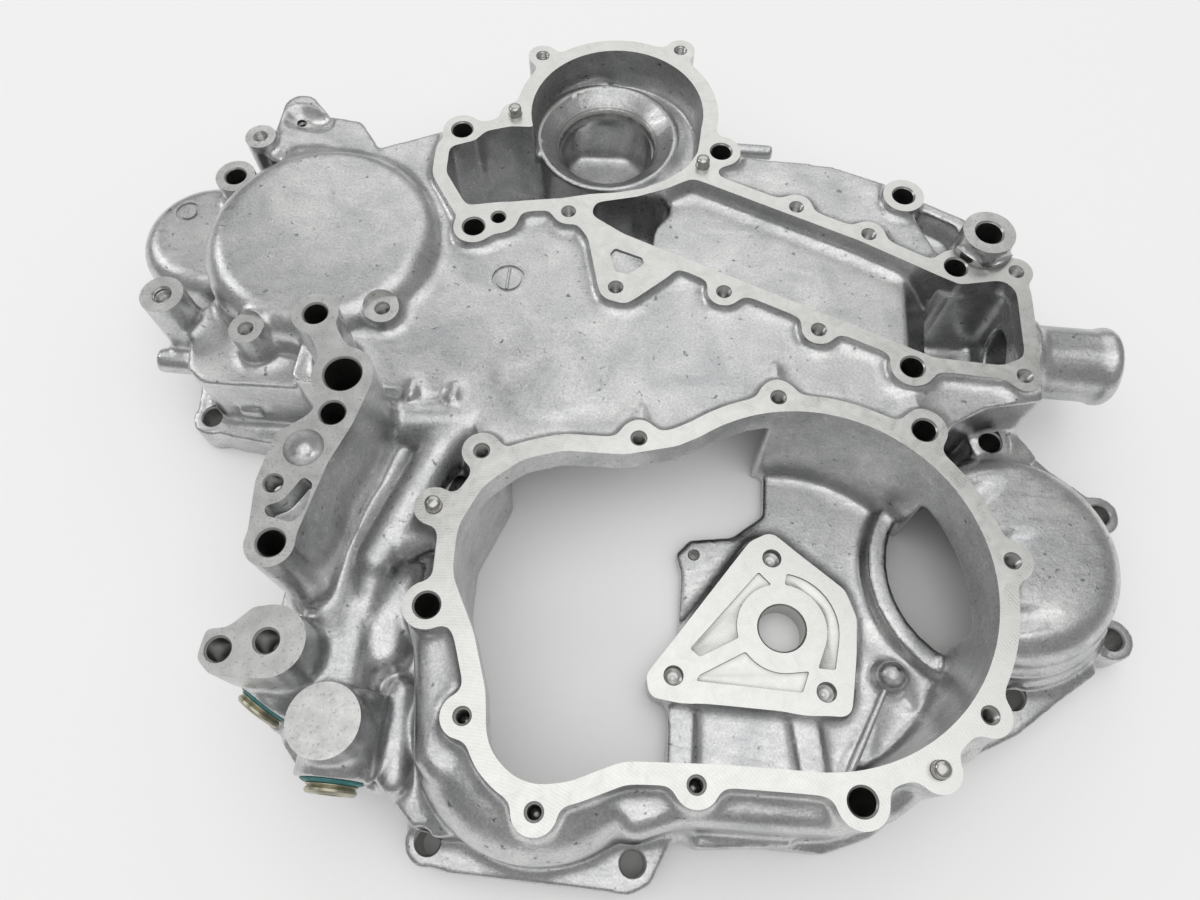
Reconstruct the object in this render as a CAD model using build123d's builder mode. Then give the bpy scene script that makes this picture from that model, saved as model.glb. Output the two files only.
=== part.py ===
from build123d import *

import os

# Front gear case of a small water-cooled diesel engine: one aluminium casting
# with four locating dowels and two screw plugs. Millimetres. The block face lies
# at z = 0 and the gasket faces point to +Z. The origin is the centre of the pump
# shaft bore, in the triangular pad on the rear web.

# Heights above the block face
face_height = 66.0  # machined faces of the gear cover and the water pump
plate_height = 62.0  # as-cast front of the middle plate
rail_height = 16.0  # bolting rail along the block face
web_height = 6.0  # rear web inside the gear opening
pad_height = 12.0  # machined pad for the oil pump
column_height = 96.0  # oil filter face
small_pad_height = 73.0  # the two machined pads at the lower left
cup_height = 71.0  # crown of the round gear cup
dome_height = 44.0  # crown of the right-hand dome

# Walls and lands
wall = 5.0
crown_wall = 8.0  # crown of the round cup
face_land = 7.0  # width of a gasket face beside its opening
pump_land = 6.0  # width of the narrower gasket face round the water pump
rim_depth = 15.0  # depth of the thick rim round the gear opening
chamber_height = face_height - rim_depth  # ceiling of the gear chamber behind the plate
shoulder_height = face_height - 8.0  # as-cast shoulder round the lower half of the opening
shoulder_blend = 7.0
opening_curve = 18.0  # radius of the bends of the gear opening
corner_blend = 3.0  # inside corners of the gasket faces
overlap = 1.0  # how far a ring or slope runs into its neighbour

# Holes
cover_screw = 5.0  # tapping drill of the small cover and pump screws
cup_screw = 5.0
large_screw = 6.8
through_hole = 9.0
drain_hole = 5.6
thread_depth = 14.0
pump_thread_depth = 12.0
cup_thread_depth = 18.0

# Dowels and plugs
dowel_diameter = 6.0
dowel_length = 14.0
dowel_stand = 4.5  # how far a dowel stands out of its face
dowel_blend = 1.2
fit = 0.02  # slip between a dowel or plug and its hole
plug_diameter = 18.0
plug_length = 12.0
plug_stand = 4.5
hex_across = 8.0
hex_depth = 5.0

# Boss radii
small_boss = 7.6
pump_boss = 7.0
large_boss = 8.8
large_boss_foot = 7.8
lug_radius = 9.0
rail_lug_radius = 8.8

# Gear opening, clockwise from the top of the left lobe
opening_points = [
    (-108, 41), (-93, 46), (-70, 46.5), (-50, 52), (-32, 62.5), (-14, 69.5), (14, 66), (48, 36),
    (48, -24), (25, -50), (7, -60.2), (-30, -61), (-61, -63), (-78, -71), (-93, -74), (-106, -63),
    (-109, -45), (-116, -26), (-127, -6), (-128, 12), (-121, 29),
]
opening_centre = (0, 5.6)  # the round right lobe
opening_radius = 66.0
cover_threads = [
    (-124, 43), (-65, 54), (-12, 77), (72, 18), (59, -37), (-37, -68), (-88, -81), (-115.5, -54),
]
cover_through = [(44, 68), (-134, -18), (16, -68)]
cover_dowels = {"left": (-138, 19), "right": (41, -56)}

# Water pump face
volute_centre = (-88, 222)
volute_radius = 40.0
eye_centre = (-93, 225)
eye_collar_radius = 34.5
eye_outer_radius = 33.0
eye_radius = 23.0
ledge_height = 44.0
collar_height = 48.0
eye_height = 40.0
eye_throat = 34.0  # underside of the round throat, over the angular suction chamber
suction_points = [
    (-116, 212), (-116, 236), (-110, 246), (-83, 247), (-73, 238), (-71, 214), (-80, 205), (-106, 204),
]
pump_floor = 10.0
volute_tail_points = [
    (-70, 222), (-48.5, 214), (-49.5, 200), (-54, 191), (-62.5, 183), (-72.5, 177), (-84, 173.5),
    (-96, 171.5), (-113, 167.4), (-134, 163), (-120, 200),
]
pump_side_points = [
    (-161, 178), (-162, 193), (-151, 198), (-147, 204), (-136, 208), (-118, 209),
    (-90, 200), (-80, 176), (-108, 168), (-136, 163), (-149, 160),
]
passage_points = [
    (-94, 160), (-93, 167), (-75, 172), (-62, 178), (-51, 185), (22, 157), (56, 141),
    (63, 138), (81, 142), (86, 137), (86, 105), (77, 100), (50, 101), (-79, 151),
]
passage_floor = 57.0
sump_points = [(57, 146), (64, 140), (88, 143), (88, 100), (54, 99)]
sump_floor = 14.0
sump_ramp_width = 14.0  # slope from the passage floor down into the sump
sump_ramp_drop = 18.0
inlet_points = [(-100, 155), (-95, 175), (-60, 182), (-60, 172), (-66, 163), (-68, 140)]
inlet_floor = 22.0
gusset_points = [(-106, 162), (-94, 148), (-87, 122), (-76, 114), (-58, 131), (-50, 146)]
gusset_recess_points = [(-84, 140), (-82, 143), (-70, 139), (-69, 136), (-75, 130), (-81, 131)]
gusset_recess_depth = 1.6
pump_threads = [
    (-127, 255), (-61, 265), (-104, 161), (-80, 123), (-35, 125), (4, 110),
    (-5, 173), (26, 161), (87, 147), (85, 96),
]
pump_through = [(-158, 204), (-39, 202), (-144, 149), (62, 147), (41, 96)]
pump_drain = (-134, 155)
pump_dowels = {"left": (-135, 216), "right": (-47, 193)}

# Middle plate and the walls under it
plate_pips = [(-156.5, 69), (-139.5, 69), (-65, 66), (-13, 90), (42, 81)]
pip_radius = 2.8
pip_length = 6.0
plate_points = [
    (-206, 68), (-206, 190), (-196, 193), (-165, 208), (-60, 208), (-33, 204), (-3, 203),
    (12, 202), (36, 194), (45, 184), (50, 170), (57, 156), (92, 152), (94, 88), (70, 82), (56, 73),
    (40, 30), (-60, 20), (-128, 52), (-134, 68),
]
chamber_points = [
    (-128, 74), (-150, 76), (-150, 148), (-108, 150), (-66, 131), (-52, 140), (-52, 176), (-30, 197),
    (10, 196), (32, 187), (41, 174), (44, 156), (44, 92), (50, 68),
    (2, 78), (-13, 78), (-13, 52), (-24, 45), (-42, 42), (-50, 34), (-49, -60),
    (-64, -68), (-78, -77), (-93, -80), (-110, -68), (-115, -45),
    (-128, -6), (-129, 14), (-118, 44), (-121, 60),
]
left_hollow_points = [
    (-188, 44), (-170, 50), (-150, 36), (-137, 8), (-136, -8), (-124, -46),
    (-122, -66), (-130, -80), (-148, -70), (-184, -56), (-190, -20),
]
cup_foot_hollow_points = [(-244, 81.5), (-204, 81.5), (-204, 98), (-244, 98)]
disc_centre = (-102, 86)
disc_radius = 23.5
disc_raise = 0.7
mark_centre = (-126, 126)
mark_radius = 7.0
mark_line = 1.6
mark_groove = 0.9

# Rear web, oil pump pad and gear clearance hole
web_points = [
    (-8, 80), (-8, 51), (-21, 40), (-39, 37), (-45, 30), (-42, 21), (-42, -7), (-44, -32),
    (-44, -70), (30, -70), (80, -30), (80, 60), (40, 80),
]
bore_diameter = 19.0
pad_points = [
    (-14, 36), (-5, 41.5), (4, 34.5), (26, 18.5), (30.5, 7), (30, -8), (27.5, -33), (-52, -33),
    (-54, -24), (-43.5, -8.5),
]
pad_curve = 5.0
pad_screws = [(-4.5, 29.5), (-43, -23.3), (17.8, -24)]
pad_screw_diameter = 7.6
pad_screw_depth = 4.0
gear_hole_centre = (85, 31)
gear_hole_radius = 38.0
gear_way_radius = 42.0  # the same hole where it passes the web
gear_ring_radius = 50.0
gear_ring_height = 12.0
dome_radius = 43.0
dome_blend = 12.0
dome_steps = [(46.0, 28.0), (48.5, 22.0)]  # radius and height of the steps at its foot
dome_step_sector = [(85, 31), (66, -24), (100, -36), (128, -18), (132, 4)]
dome_scallops = [
    ((67, 51, 45), (84, 63, 49.5)), ((76, 31, 45), (94, 39.5, 49.5)), ((78, 3, 45), (101, 7, 49.5)),
]
scallop_radius = 5.0
small_web_hole = (-37, 30)
small_web_hole_radius = 2.0
pad_pockets = [
    [(-10, 23), (-4.5, 18.5), (-17.5, 7), (-17, -5.5), (-33, -15), (-37, -12)],
    [(-14.6, -11), (-8, -16.3), (1, -17.7), (11, -16), (7.4, -25.2), (-34, -24.6), (-32.5, -22)],
    [(2, 24.5), (13, 20), (20.5, 11), (22, -1), (21, -15), (14, -15), (17.3, -5), (18, 4.6), (13, 14),
     (1, 19)],
]
pad_pocket_depth = 1.2
pad_pocket_curve = 1.2
web_ribs = [((32, -20), (44, -15)), ((44, -15), (24, -54)), ((44, -15), (32, -54)), ((44, -15), (53, -26))]
rib_radius = 2.4
web_bars = [
    [(-44.5, -28), (-34, -28), (-32.5, -62), (-43.5, -62)], [(2.5, -28), (14, -28), (20, -62), (9, -62)],
]
web_bar_height = 9.5
ball_boss = (44, -15)
ball_boss_radius = 6.5

# Round gear cup at the upper left
cup_centre = (-208, 137)
cup_radius = 51.0
cup_blend = 12.0
cup_threads_small = [(-248, 189), (-174, 102), (-227, 87)]
cup_thread_large = (-266, 100)
cup_boss_height = 68.0
cup_side_boss = 7.0
cup_large_boss = 9.0
upper_lug = (-258, 172)
upper_lug_height = 60.0
lower_lug = (-257, 71)
side_bulge_centre = (-271, 150)
side_bulge_radius = 31.0
side_bulge_height = 46.0
side_bulge_blend = 10.0
side_mark_centre = (-283, 161)
side_mark_radius = 5.5
cup_collar_points = [
    (-268, 176), (-257, 186), (-248, 196), (-240, 190), (-224, 186), (-160, 196), (-158, 160),
    (-200, 130), (-240, 140), (-262, 160),
]
cup_collar_height = 46.0
ear_points = [
    (-245, 180), (-245, 212), (-230, 218), (-221, 209), (-206, 207), (-197, 195), (-196, 176),
]
ear_height = 64.0
ear_tip = (-236.5, 213)
ear_radius = 8.5
ear_scoop = ((-236, 207, 65), (-226, 205, 66))
ear_scoop_radius = 7.0
ear_lump = ((-231, 184, 61), (-220, 186, 61))
ear_lump_radius = 5.0
ear_pin_hole = 3.0
ear_pin_depth = 10.0
cup_foot_points = [
    (-262, 100), (-250, 120), (-200, 120), (-196, 74), (-203, 71), (-248, 70), (-256, 76),
]
cup_foot_height = 50.0
cup_boss_foot = 20.0  # where the small bosses grow out of the cup's side
foot_nub_points = [(-238, 66.5), (-228, 66.5), (-228, 76), (-238, 76)]
foot_nub_low = 27.0
foot_nub_height = 33.0
cup_rail_points = [
    (-268, 92), (-264, 66), (-247, 62), (-196, 57), (-190, 62), (-190, 100), (-256, 100),
]

# Oil filter column at the left
column_points = [
    (-181, 64), (-164, 62), (-161, 52), (-164.3, 35), (-169.5, 19.5), (-175, -14),
    (-182, -18), (-189, -13), (-192.2, 11), (-189.8, 29), (-179.5, 38), (-178.5, 45), (-182.5, 52),
]
column_centres = [((-188, 79), 8.8), ((-172.3, 54.7), 11.2), ((-181.8, -10), 8.5)]
column_neck = [(-191, 75), (-181, 59), (-172, 64), (-183, 80)]
dish_centre = (-179, 24.6)
dish_radius = 7.2
blind_hole = (-186, 10.7)
kidney_points = [
    (-176.5, 14), (-172.5, 12), (-173, 2), (-176, -2.6), (-185.5, -1), (-186.8, 2), (-181.5, 4.7),
    (-178.7, 9.5),
]
kidney_depth = 9.0
blind_diameter = 5.8
blind_depth = 9.0
dish_lift = 1.5  # how far the dish's centre stands over the filter face
column_holes = [
    ((-188, 79), 8.6), ((-172.3, 54.7), 13.2), ((-172.3, 38.9), 8.6), ((-181.5, -10), 9.0),
]
column_foot_points = [
    (-205, 68), (-160, 70), (-150, 30), (-150, -50), (-170, -66), (-196, -60), (-198, 20),
]
column_foot_height = 36.0

# Galleries cast along the left side: ends and radius
gallery_runs = [
    ((-168, 58, 53), (-134, 60, 54), 9.0),
    ((-134, 60, 53), (-143, 50, 49), 10.0),
    ((-143, 50, 49), (-160, 2, 46), 10.0),
    ((-160, 2, 46), (-163, -22, 38), 9.0),
    ((-163, 54, 44), (-177, 28, 43), 6.0),
    ((-177, 28, 43), (-184, 6, 41), 6.5),
    ((-184, 6, 41), (-174, -24, 41), 8.5),
    ((-174, -24, 41), (-166, -60, 41), 9.0),
    ((-144, -44, 36), (-141, -74, 36), 6.0),
    ((-152, 10, 47), (-140, 14, 50), 8.0),
]
skirt_points = [
    (-196, 64), (-140, 66), (-110, 60), (-105, -88), (-128, -92), (-142, -80), (-176, -74),
    (-190, -60), (-196, -20),
]
skirt_height = 34.0

# The two machined pads and their plugs
twin_holes = [(-199.2, -41.4), (-183.8, -37.1)]
twin_hole_diameter = 8.0
twin_lobe = (-183, -37)
twin_lobe_radius = 12.5
twin_pad_points = [
    (-205, -35), (-198, -34), (-191, -26), (-184, -25), (-184, -49.5), (-190, -50.3), (-200, -49.7),
    (-205.5, -45),
]
twin_pad_depth = 22.0
twin_hole_depth = 18.0
round_pad = (-159, -60.6)
round_pad_radius = 12.4
side_plug_place = (-191.5, -53, 40)
side_plug_turn = 240.0
lower_plug_place = (-159.5, -77, 46)
plug_boss_wall = 4.5
plug_boss_length = 30.0
plug_chamfer = 0.8
spot_depth = 14.0

# Rail, its lugs and the sump flange
rail_points = [
    (-140, -76), (-137, -92), (-130, -100), (-121, -102), (-54, -103), (-47, -99),
    (-40, -83), (15, -83), (32, -76), (68, -46), (90, -34), (107, -20), (124, -7), (123, 16),
    (128, 40), (132, 54), (130, 70), (116, 80), (104, 92), (92, 97), (78, 100), (40, 90), (-60, 60),
    (-150, 60),
]
arch_centre = (-91, -52)
arch_radius = 45.0
arch_blend = 18.0
shoulder_points = [
    (-149, -8), (-139, -31), (-135, -50), (-132, -69), (-121, -79), (-112, -70), (-100, -50),
    (-108, -28), (-122, -6),
]
lower_wall_points = [
    (-66, -56), (-67, -78), (-57, -87), (-40, -80), (14, -78), (30, -72), (62, -46), (62, 0), (0, 40),
    (-50, 0),
]
sump_lugs = [(-129, -92.5), (-54, -92.5)]
rail_lugs = [(131.3, 7.2), (134, 61), (89, -20)]
corner_lug = (81, 80)
corner_lug_height = 38.0
corner_step_points = [(73, 72), (73, 88), (82, 94), (92, 90), (102, 76), (92, 66)]
corner_step_height = 35.0
upper_right_lug = (42, 184)
hoist_lug = (74, 160)
hoist_lug_radius = 11.0
hoist_lug_height = 74.0
hoist_hole = 11.0
hose_place = (92, 124, 34)
hose_length = 45.0
hose_diameter = 32.0
hose_bore = 25.0
hose_collar = 38.0
hose_bead = 1.2
hose_bead_length = 4.0
hose_bead_inset = 6.0  # from the neck's end to the far side of its bead
hose_inner_way = 12.0  # how far the hose bore runs back into the sump
hose_collar_length = 10.0
corner_web_points = [(30, 190), (50, 192), (80, 186), (88, 168), (92, 152), (60, 150), (30, 170)]
corner_web_height = 44.0
corner_rim_points = [
    (40, 190), (54, 190), (72, 181.5), (80, 170), (73, 166), (67, 177.5), (52, 185), (42, 182),
]
corner_rim_height = 57.0
top_tube_place = (-44, 221, 48)
top_tube_length = 31.0
rail_bar_points = [(-34, -76), (1, -74), (2, -82), (-33, -86)]
rail_bar_height = 26.0
stub_place = (-262, 88, 34)
stub_diameter = 11.0
stub_length = 16.0
top_tube_diameter = 7.0


def closed_shape(points, radius):
    """A face inside straight sides with rounded corners."""
    with BuildSketch() as shape:
        with BuildLine():
            FilletPolyline(*points, radius=radius, close=True)
        make_face()
    return shape.sketch


def prism(shape, low, high, mode=Mode.ADD):
    """Raise a flat shape between two heights in the part being built."""
    extrude(Pos(0, 0, low) * shape, amount=high - low, mode=mode)


def discs(places, radius):
    """Equal round faces at several places."""
    with BuildSketch() as shape:
        with Locations(*places):
            Circle(radius)
    return shape.sketch


def soften(shape, radius):
    """Round the inside corners of a flat shape by growing and shrinking it."""
    grown = offset(shape, amount=radius, kind=Kind.ARC, mode=Mode.PRIVATE)
    return offset(grown, amount=-radius, kind=Kind.ARC, mode=Mode.PRIVATE)


def opening_shape(growth=0.0):
    """The gear opening, grown by a wall."""
    with BuildSketch() as shape:
        with BuildLine():
            FilletPolyline(*opening_points, radius=opening_curve, close=True)
        make_face()
        with Locations(opening_centre):
            Circle(opening_radius)
        if growth:
            offset(amount=growth, kind=Kind.ARC)
    return shape.sketch


def cover_face_shape():
    """The outside of the gear cover's gasket face."""
    shape = opening_shape(face_land)
    shape += discs(cover_threads + list(cover_dowels.values()), small_boss)
    shape += discs(cover_through, large_boss)
    return soften(shape, corner_blend)


def pump_side_shape():
    return closed_shape(pump_side_points, 2)


def passage_shape():
    return closed_shape(passage_points, 2.5)


def pump_face_shape():
    """The outside of the water pump's gasket face."""
    shape = discs([volute_centre], volute_radius + face_land)
    for pocket in (pump_side_shape(), passage_shape()):
        shape += offset(pocket, amount=pump_land, kind=Kind.ARC, mode=Mode.PRIVATE)
    shape += closed_shape(gusset_points, 4)
    shape += discs(pump_threads + list(pump_dowels.values()), pump_boss)
    shape += discs(pump_through + [pump_drain], large_boss)
    return soften(shape, corner_blend)


def volute_shape():
    """The pump's round pocket, with the tail that widens towards its outlet."""
    shape = discs([volute_centre], volute_radius) + pump_side_shape()
    return shape + closed_shape(volute_tail_points, 2)


def column_shape():
    """The filter face: four round ends in one outline."""
    shape = closed_shape(column_points, 3)
    shape += closed_shape(column_neck, 1)
    for place, radius in column_centres:
        shape += discs([place], radius)
    return soften(shape, corner_blend)


def rod(plane, radius, depth):
    """A cylinder that stands on a plane."""
    with BuildSketch(plane) as end_face:
        Circle(radius)
    return extrude(end_face.sketch, amount=depth, mode=Mode.PRIVATE)


def capsule(start, end, radius):
    """A round-ended gallery between two points."""
    run = Vector(*end) - Vector(*start)
    shape = rod(Plane(origin=start, z_dir=run), radius, run.length)
    for tip in (start, end):
        shape += Pos(*tip) * Sphere(radius, mode=Mode.PRIVATE)
    return shape


def soft_drum(place, radius, height, blend):
    """A drum that stands on the block face, with a rounded crown."""
    with BuildPart(Plane(origin=(*place, 0))) as drum:
        Cylinder(radius, height, align=(Align.CENTER, Align.CENTER, Align.MIN))
        fillet(drum.edges().group_by(Axis.Z)[-1], blend)
    return drum.part


def soft_block(points, corner, height, blend):
    """A block that stands on the block face, with a rounded upper edge."""
    with BuildPart() as block:
        extrude(closed_shape(points, corner), amount=height)
        fillet(block.edges().group_by(Axis.Z)[-1], blend)
    return block.part


def ring(place, outer, inner):
    return discs([place], outer) - discs([place], inner)


def twin_pad_shape():
    shape = closed_shape(twin_pad_points, 1.5) + discs([twin_lobe], twin_lobe_radius)
    return soften(shape, corner_blend)


def side_plug_plane(stand):
    """The side plug's outer end, looking out of the case."""
    turned = Location(side_plug_place, (0, 0, side_plug_turn))
    outward = Vector(1, 0, 0).rotate(Axis.Z, side_plug_turn)
    return Plane(origin=turned.position + outward * stand, z_dir=outward)


def lower_plug_plane(stand):
    origin = Vector(*lower_plug_place) + Vector(0, -1, 0) * stand
    return Plane(origin=origin, z_dir=(0, -1, 0))


cup = soft_drum(cup_centre, cup_radius, cup_height, cup_blend)
dome = soft_drum(gear_hole_centre, dome_radius, dome_height, dome_blend)
side_bulge = soft_drum(side_bulge_centre, side_bulge_radius, side_bulge_height, side_bulge_blend)
arch = soft_drum(arch_centre, arch_radius, shoulder_height, arch_blend)
left_shoulder = soft_block(shoulder_points, 8, shoulder_height, shoulder_blend)
lower_shoulder = soft_block(lower_wall_points, 8, shoulder_height, shoulder_blend)

# The wedge between the passage floor and the sump, seen along Y
with BuildPart() as sump_ramp:
    with BuildSketch(Plane.XZ.offset(-sump_points[0][1])):
        with BuildLine():
            edge = sump_points[0][0]
            Polyline((edge - sump_ramp_width, passage_floor), (edge + overlap, passage_floor),
                     (edge + overlap, passage_floor - sump_ramp_drop), close=True)
        make_face()
    extrude(amount=sump_points[0][1] - sump_points[-1][1])
    extrude(Pos(0, 0, sump_floor) * passage_shape(), amount=face_height, mode=Mode.INTERSECT)

with BuildPart() as gear_case:
    # Main walls, still solid
    prism(closed_shape(plate_points, 4), 0, plate_height)
    prism(closed_shape(skirt_points, 8), 0, skirt_height)
    prism(closed_shape(column_foot_points, 8), 0, column_foot_height)
    prism(cover_face_shape(), 0, face_height)
    prism(closed_shape(rail_points, 5), 0, rail_height)
    prism(closed_shape(cup_rail_points, 4), 0, rail_height)
    prism(closed_shape(cup_foot_points, 6), 0, cup_foot_height)

    # Soft shoulders round the lower half of the opening
    add(arch)
    add(left_shoulder)
    add(lower_shoulder)

    # Round cup, side bulge and dome, each with a soft crown; the dome has three scallops
    for radius, height in dome_steps:
        prism(discs([gear_hole_centre], radius) & closed_shape(dome_step_sector, 1), 0, height)
    add(cup)
    add(side_bulge)
    add(dome)
    for start, end in dome_scallops:
        add(capsule(start, end, scallop_radius), mode=Mode.SUBTRACT)

    # Hollows open to the block: gear chamber, cup and dome
    prism(closed_shape(chamber_points, 4), 0, chamber_height, Mode.SUBTRACT)
    prism(closed_shape(left_hollow_points, 5), 0, skirt_height - wall, Mode.SUBTRACT)
    prism(closed_shape(cup_foot_hollow_points, 5), 0, cup_foot_height - wall, Mode.SUBTRACT)

    # Pump housing and water passage
    prism(pump_face_shape(), chamber_height, face_height)
    prism(discs([volute_centre], volute_radius + pump_land), 0, face_height)
    for pocket in (pump_side_shape(), closed_shape(sump_points, 3), closed_shape(inlet_points, 3)):
        prism(offset(pocket, amount=wall, kind=Kind.ARC, mode=Mode.PRIVATE), 0, passage_floor)
    prism(discs(cover_through + pump_through + [pump_drain], large_boss_foot), 0, face_height)

    # Left side: column, galleries, pads
    prism(column_shape(), skirt_height - wall, column_height)
    for start, end, radius in gallery_runs:
        add(capsule(start, end, radius))
    prism(twin_pad_shape(), small_pad_height - twin_pad_depth, small_pad_height)
    prism(discs([round_pad], round_pad_radius), rail_height, small_pad_height)
    add(rod(side_plug_plane(0), plug_diameter / 2 + plug_boss_wall, -plug_boss_length))
    add(rod(lower_plug_plane(0), plug_diameter / 2 + plug_boss_wall, -plug_boss_length))

    # Cup bosses, ear and lugs
    prism(closed_shape(cup_collar_points, 3), 0, cup_collar_height)
    prism(closed_shape(ear_points, 4) + discs([ear_tip], ear_radius), 0, ear_height)
    add(capsule(*ear_lump, ear_lump_radius))
    prism(discs([cup_centre], cup_radius - wall), 0, cup_height - crown_wall, Mode.SUBTRACT)
    prism(discs(cup_threads_small, cup_side_boss), cup_boss_foot, cup_boss_height)
    prism(discs([cup_thread_large], cup_large_boss), 0, cup_boss_height)
    prism(discs([upper_lug], lug_radius), 0, upper_lug_height)
    prism(discs([lower_lug], lug_radius), 0, rail_height)
    add(rod(Plane(origin=stub_place, z_dir=(-1, 0, 0)), stub_diameter / 2, stub_length))
    prism(closed_shape(foot_nub_points, 1), foot_nub_low, foot_nub_height)
    add(capsule(*ear_scoop, ear_scoop_radius), mode=Mode.SUBTRACT)
    scoop_start = ear_scoop[0]
    pin_floor = scoop_start[2] - ear_scoop_radius - ear_pin_depth
    prism(discs([scoop_start[:2]], ear_pin_hole / 2), pin_floor, ear_height, Mode.SUBTRACT)

    # Rail lugs and the upper right corner
    prism(discs(sump_lugs + rail_lugs, rail_lug_radius), 0, rail_height)
    prism(discs([upper_right_lug], lug_radius), 0, face_height)
    prism(discs([hoist_lug], hoist_lug_radius), 0, hoist_lug_height)
    prism(closed_shape(corner_web_points, 3), 0, corner_web_height)
    prism(closed_shape(corner_rim_points, 2), 0, corner_rim_height)
    prism(closed_shape(corner_step_points, 3), 0, corner_step_height)
    prism(discs([corner_lug], rail_lug_radius), 0, corner_lug_height)
    add(rod(Plane(origin=top_tube_place, z_dir=(1, 0, 0)), top_tube_diameter / 2, top_tube_length))
    prism(closed_shape(rail_bar_points, 2), 0, rail_bar_height)

    # Raised disc, ring mark and small pips on the plate
    prism(discs([disc_centre], disc_radius), plate_height - wall, plate_height + disc_raise)
    mark = ring(mark_centre, mark_radius, mark_radius - mark_line)
    prism(mark, plate_height - mark_groove, plate_height, Mode.SUBTRACT)
    side_mark = ring(side_mark_centre, side_mark_radius, side_mark_radius - mark_line)
    prism(side_mark, side_bulge_height - mark_groove, side_bulge_height, Mode.SUBTRACT)
    for across, along in plate_pips:
        pip_start = (across, along - pip_length / 2, plate_height)
        add(capsule(pip_start, (across, along + pip_length / 2, plate_height - 1), pip_radius))

    # Hose neck
    hose_plane = Plane(origin=hose_place, z_dir=(1, 0, 0))
    add(rod(hose_plane, hose_collar / 2, hose_collar_length))
    add(rod(hose_plane, hose_diameter / 2, hose_length))
    bead_plane = hose_plane.offset(hose_length - hose_bead_inset)
    add(rod(bead_plane, hose_diameter / 2 + hose_bead, hose_bead_length))

    # Openings from the front
    prism(opening_shape() - closed_shape(web_points, 2), 0, face_height, Mode.SUBTRACT)
    prism(opening_shape(), web_height, face_height, Mode.SUBTRACT)
    prism(discs([gear_hole_centre], gear_hole_radius), 0, dome_height - wall, Mode.SUBTRACT)
    gear_ring = ring(gear_hole_centre, gear_ring_radius, gear_way_radius)
    prism(gear_ring & opening_shape(overlap), 0, gear_ring_height)
    prism(discs([gear_hole_centre], gear_way_radius) & opening_shape(), 0, face_height, Mode.SUBTRACT)
    prism(volute_shape(), ledge_height, face_height, Mode.SUBTRACT)
    collar = discs([eye_centre], eye_collar_radius)
    prism((pump_side_shape() & volute_shape()) - collar, pump_floor, face_height, Mode.SUBTRACT)
    prism(collar, eye_height, collar_height)
    prism(passage_shape(), passage_floor, face_height, Mode.SUBTRACT)
    prism(closed_shape(sump_points, 3), sump_floor, passage_floor, Mode.SUBTRACT)
    add(sump_ramp.part, mode=Mode.SUBTRACT)
    prism(closed_shape(inlet_points, 3) & passage_shape(), inlet_floor, face_height, Mode.SUBTRACT)
    with Locations((*eye_centre, (collar_height + eye_height) / 2)):
        Cone(eye_radius, eye_outer_radius, collar_height - eye_height, mode=Mode.SUBTRACT)
    prism(discs([eye_centre], eye_radius), eye_throat, eye_height, Mode.SUBTRACT)
    prism(closed_shape(suction_points, 1.5), pump_floor, eye_throat, Mode.SUBTRACT)
    add(rod(hose_plane, hose_bore / 2, hose_length), mode=Mode.SUBTRACT)
    add(rod(hose_plane, hose_bore / 2, -hose_inner_way), mode=Mode.SUBTRACT)
    prism(closed_shape(gusset_recess_points, 2), face_height - gusset_recess_depth, face_height,
          Mode.SUBTRACT)

    # Rear web: ribs, a ball boss and the oil pump pad
    for start, end in web_ribs:
        add(capsule((*start, web_height - 2), (*end, web_height), rib_radius))
    add(capsule((*ball_boss, web_height + 1), (*ball_boss, web_height + 4), ball_boss_radius))
    for points in web_bars:
        prism(closed_shape(points, 0.6), 0, web_bar_height)
    prism(closed_shape(pad_points, pad_curve), 0, pad_height)
    for points in pad_pockets:
        prism(closed_shape(points, pad_pocket_curve), pad_height - pad_pocket_depth, pad_height,
              Mode.SUBTRACT)
    prism(discs(pad_screws, pad_screw_diameter / 2), pad_height - pad_screw_depth, pad_height,
          Mode.SUBTRACT)
    prism(discs([(0, 0)], bore_diameter / 2), 0, pad_height, Mode.SUBTRACT)
    prism(discs([small_web_hole], small_web_hole_radius), 0, web_height, Mode.SUBTRACT)

    # Tapped and plain holes
    for places, depth in ((cover_threads, thread_depth), (pump_threads, pump_thread_depth)):
        prism(discs(places, cover_screw / 2), face_height - depth, face_height, Mode.SUBTRACT)
    prism(discs(cup_threads_small, cup_screw / 2),
          cup_boss_height - cup_thread_depth, cup_boss_height, Mode.SUBTRACT)
    prism(discs([cup_thread_large], large_screw / 2),
          cup_boss_height - cup_thread_depth, cup_boss_height, Mode.SUBTRACT)
    prism(discs(cover_through + pump_through, through_hole / 2), 0, face_height, Mode.SUBTRACT)
    prism(discs([pump_drain], drain_hole / 2), 0, face_height, Mode.SUBTRACT)
    other_lugs = [corner_lug, lower_lug, upper_lug, upper_right_lug]
    prism(discs(sump_lugs + rail_lugs + other_lugs, through_hole / 2), 0, face_height, Mode.SUBTRACT)
    prism(discs([hoist_lug], hoist_hole / 2), 0, hoist_lug_height, Mode.SUBTRACT)
    prism(discs(list(cover_dowels.values()) + list(pump_dowels.values()), dowel_diameter / 2 + fit),
          face_height - dowel_length + dowel_stand, face_height, Mode.SUBTRACT)

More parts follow.
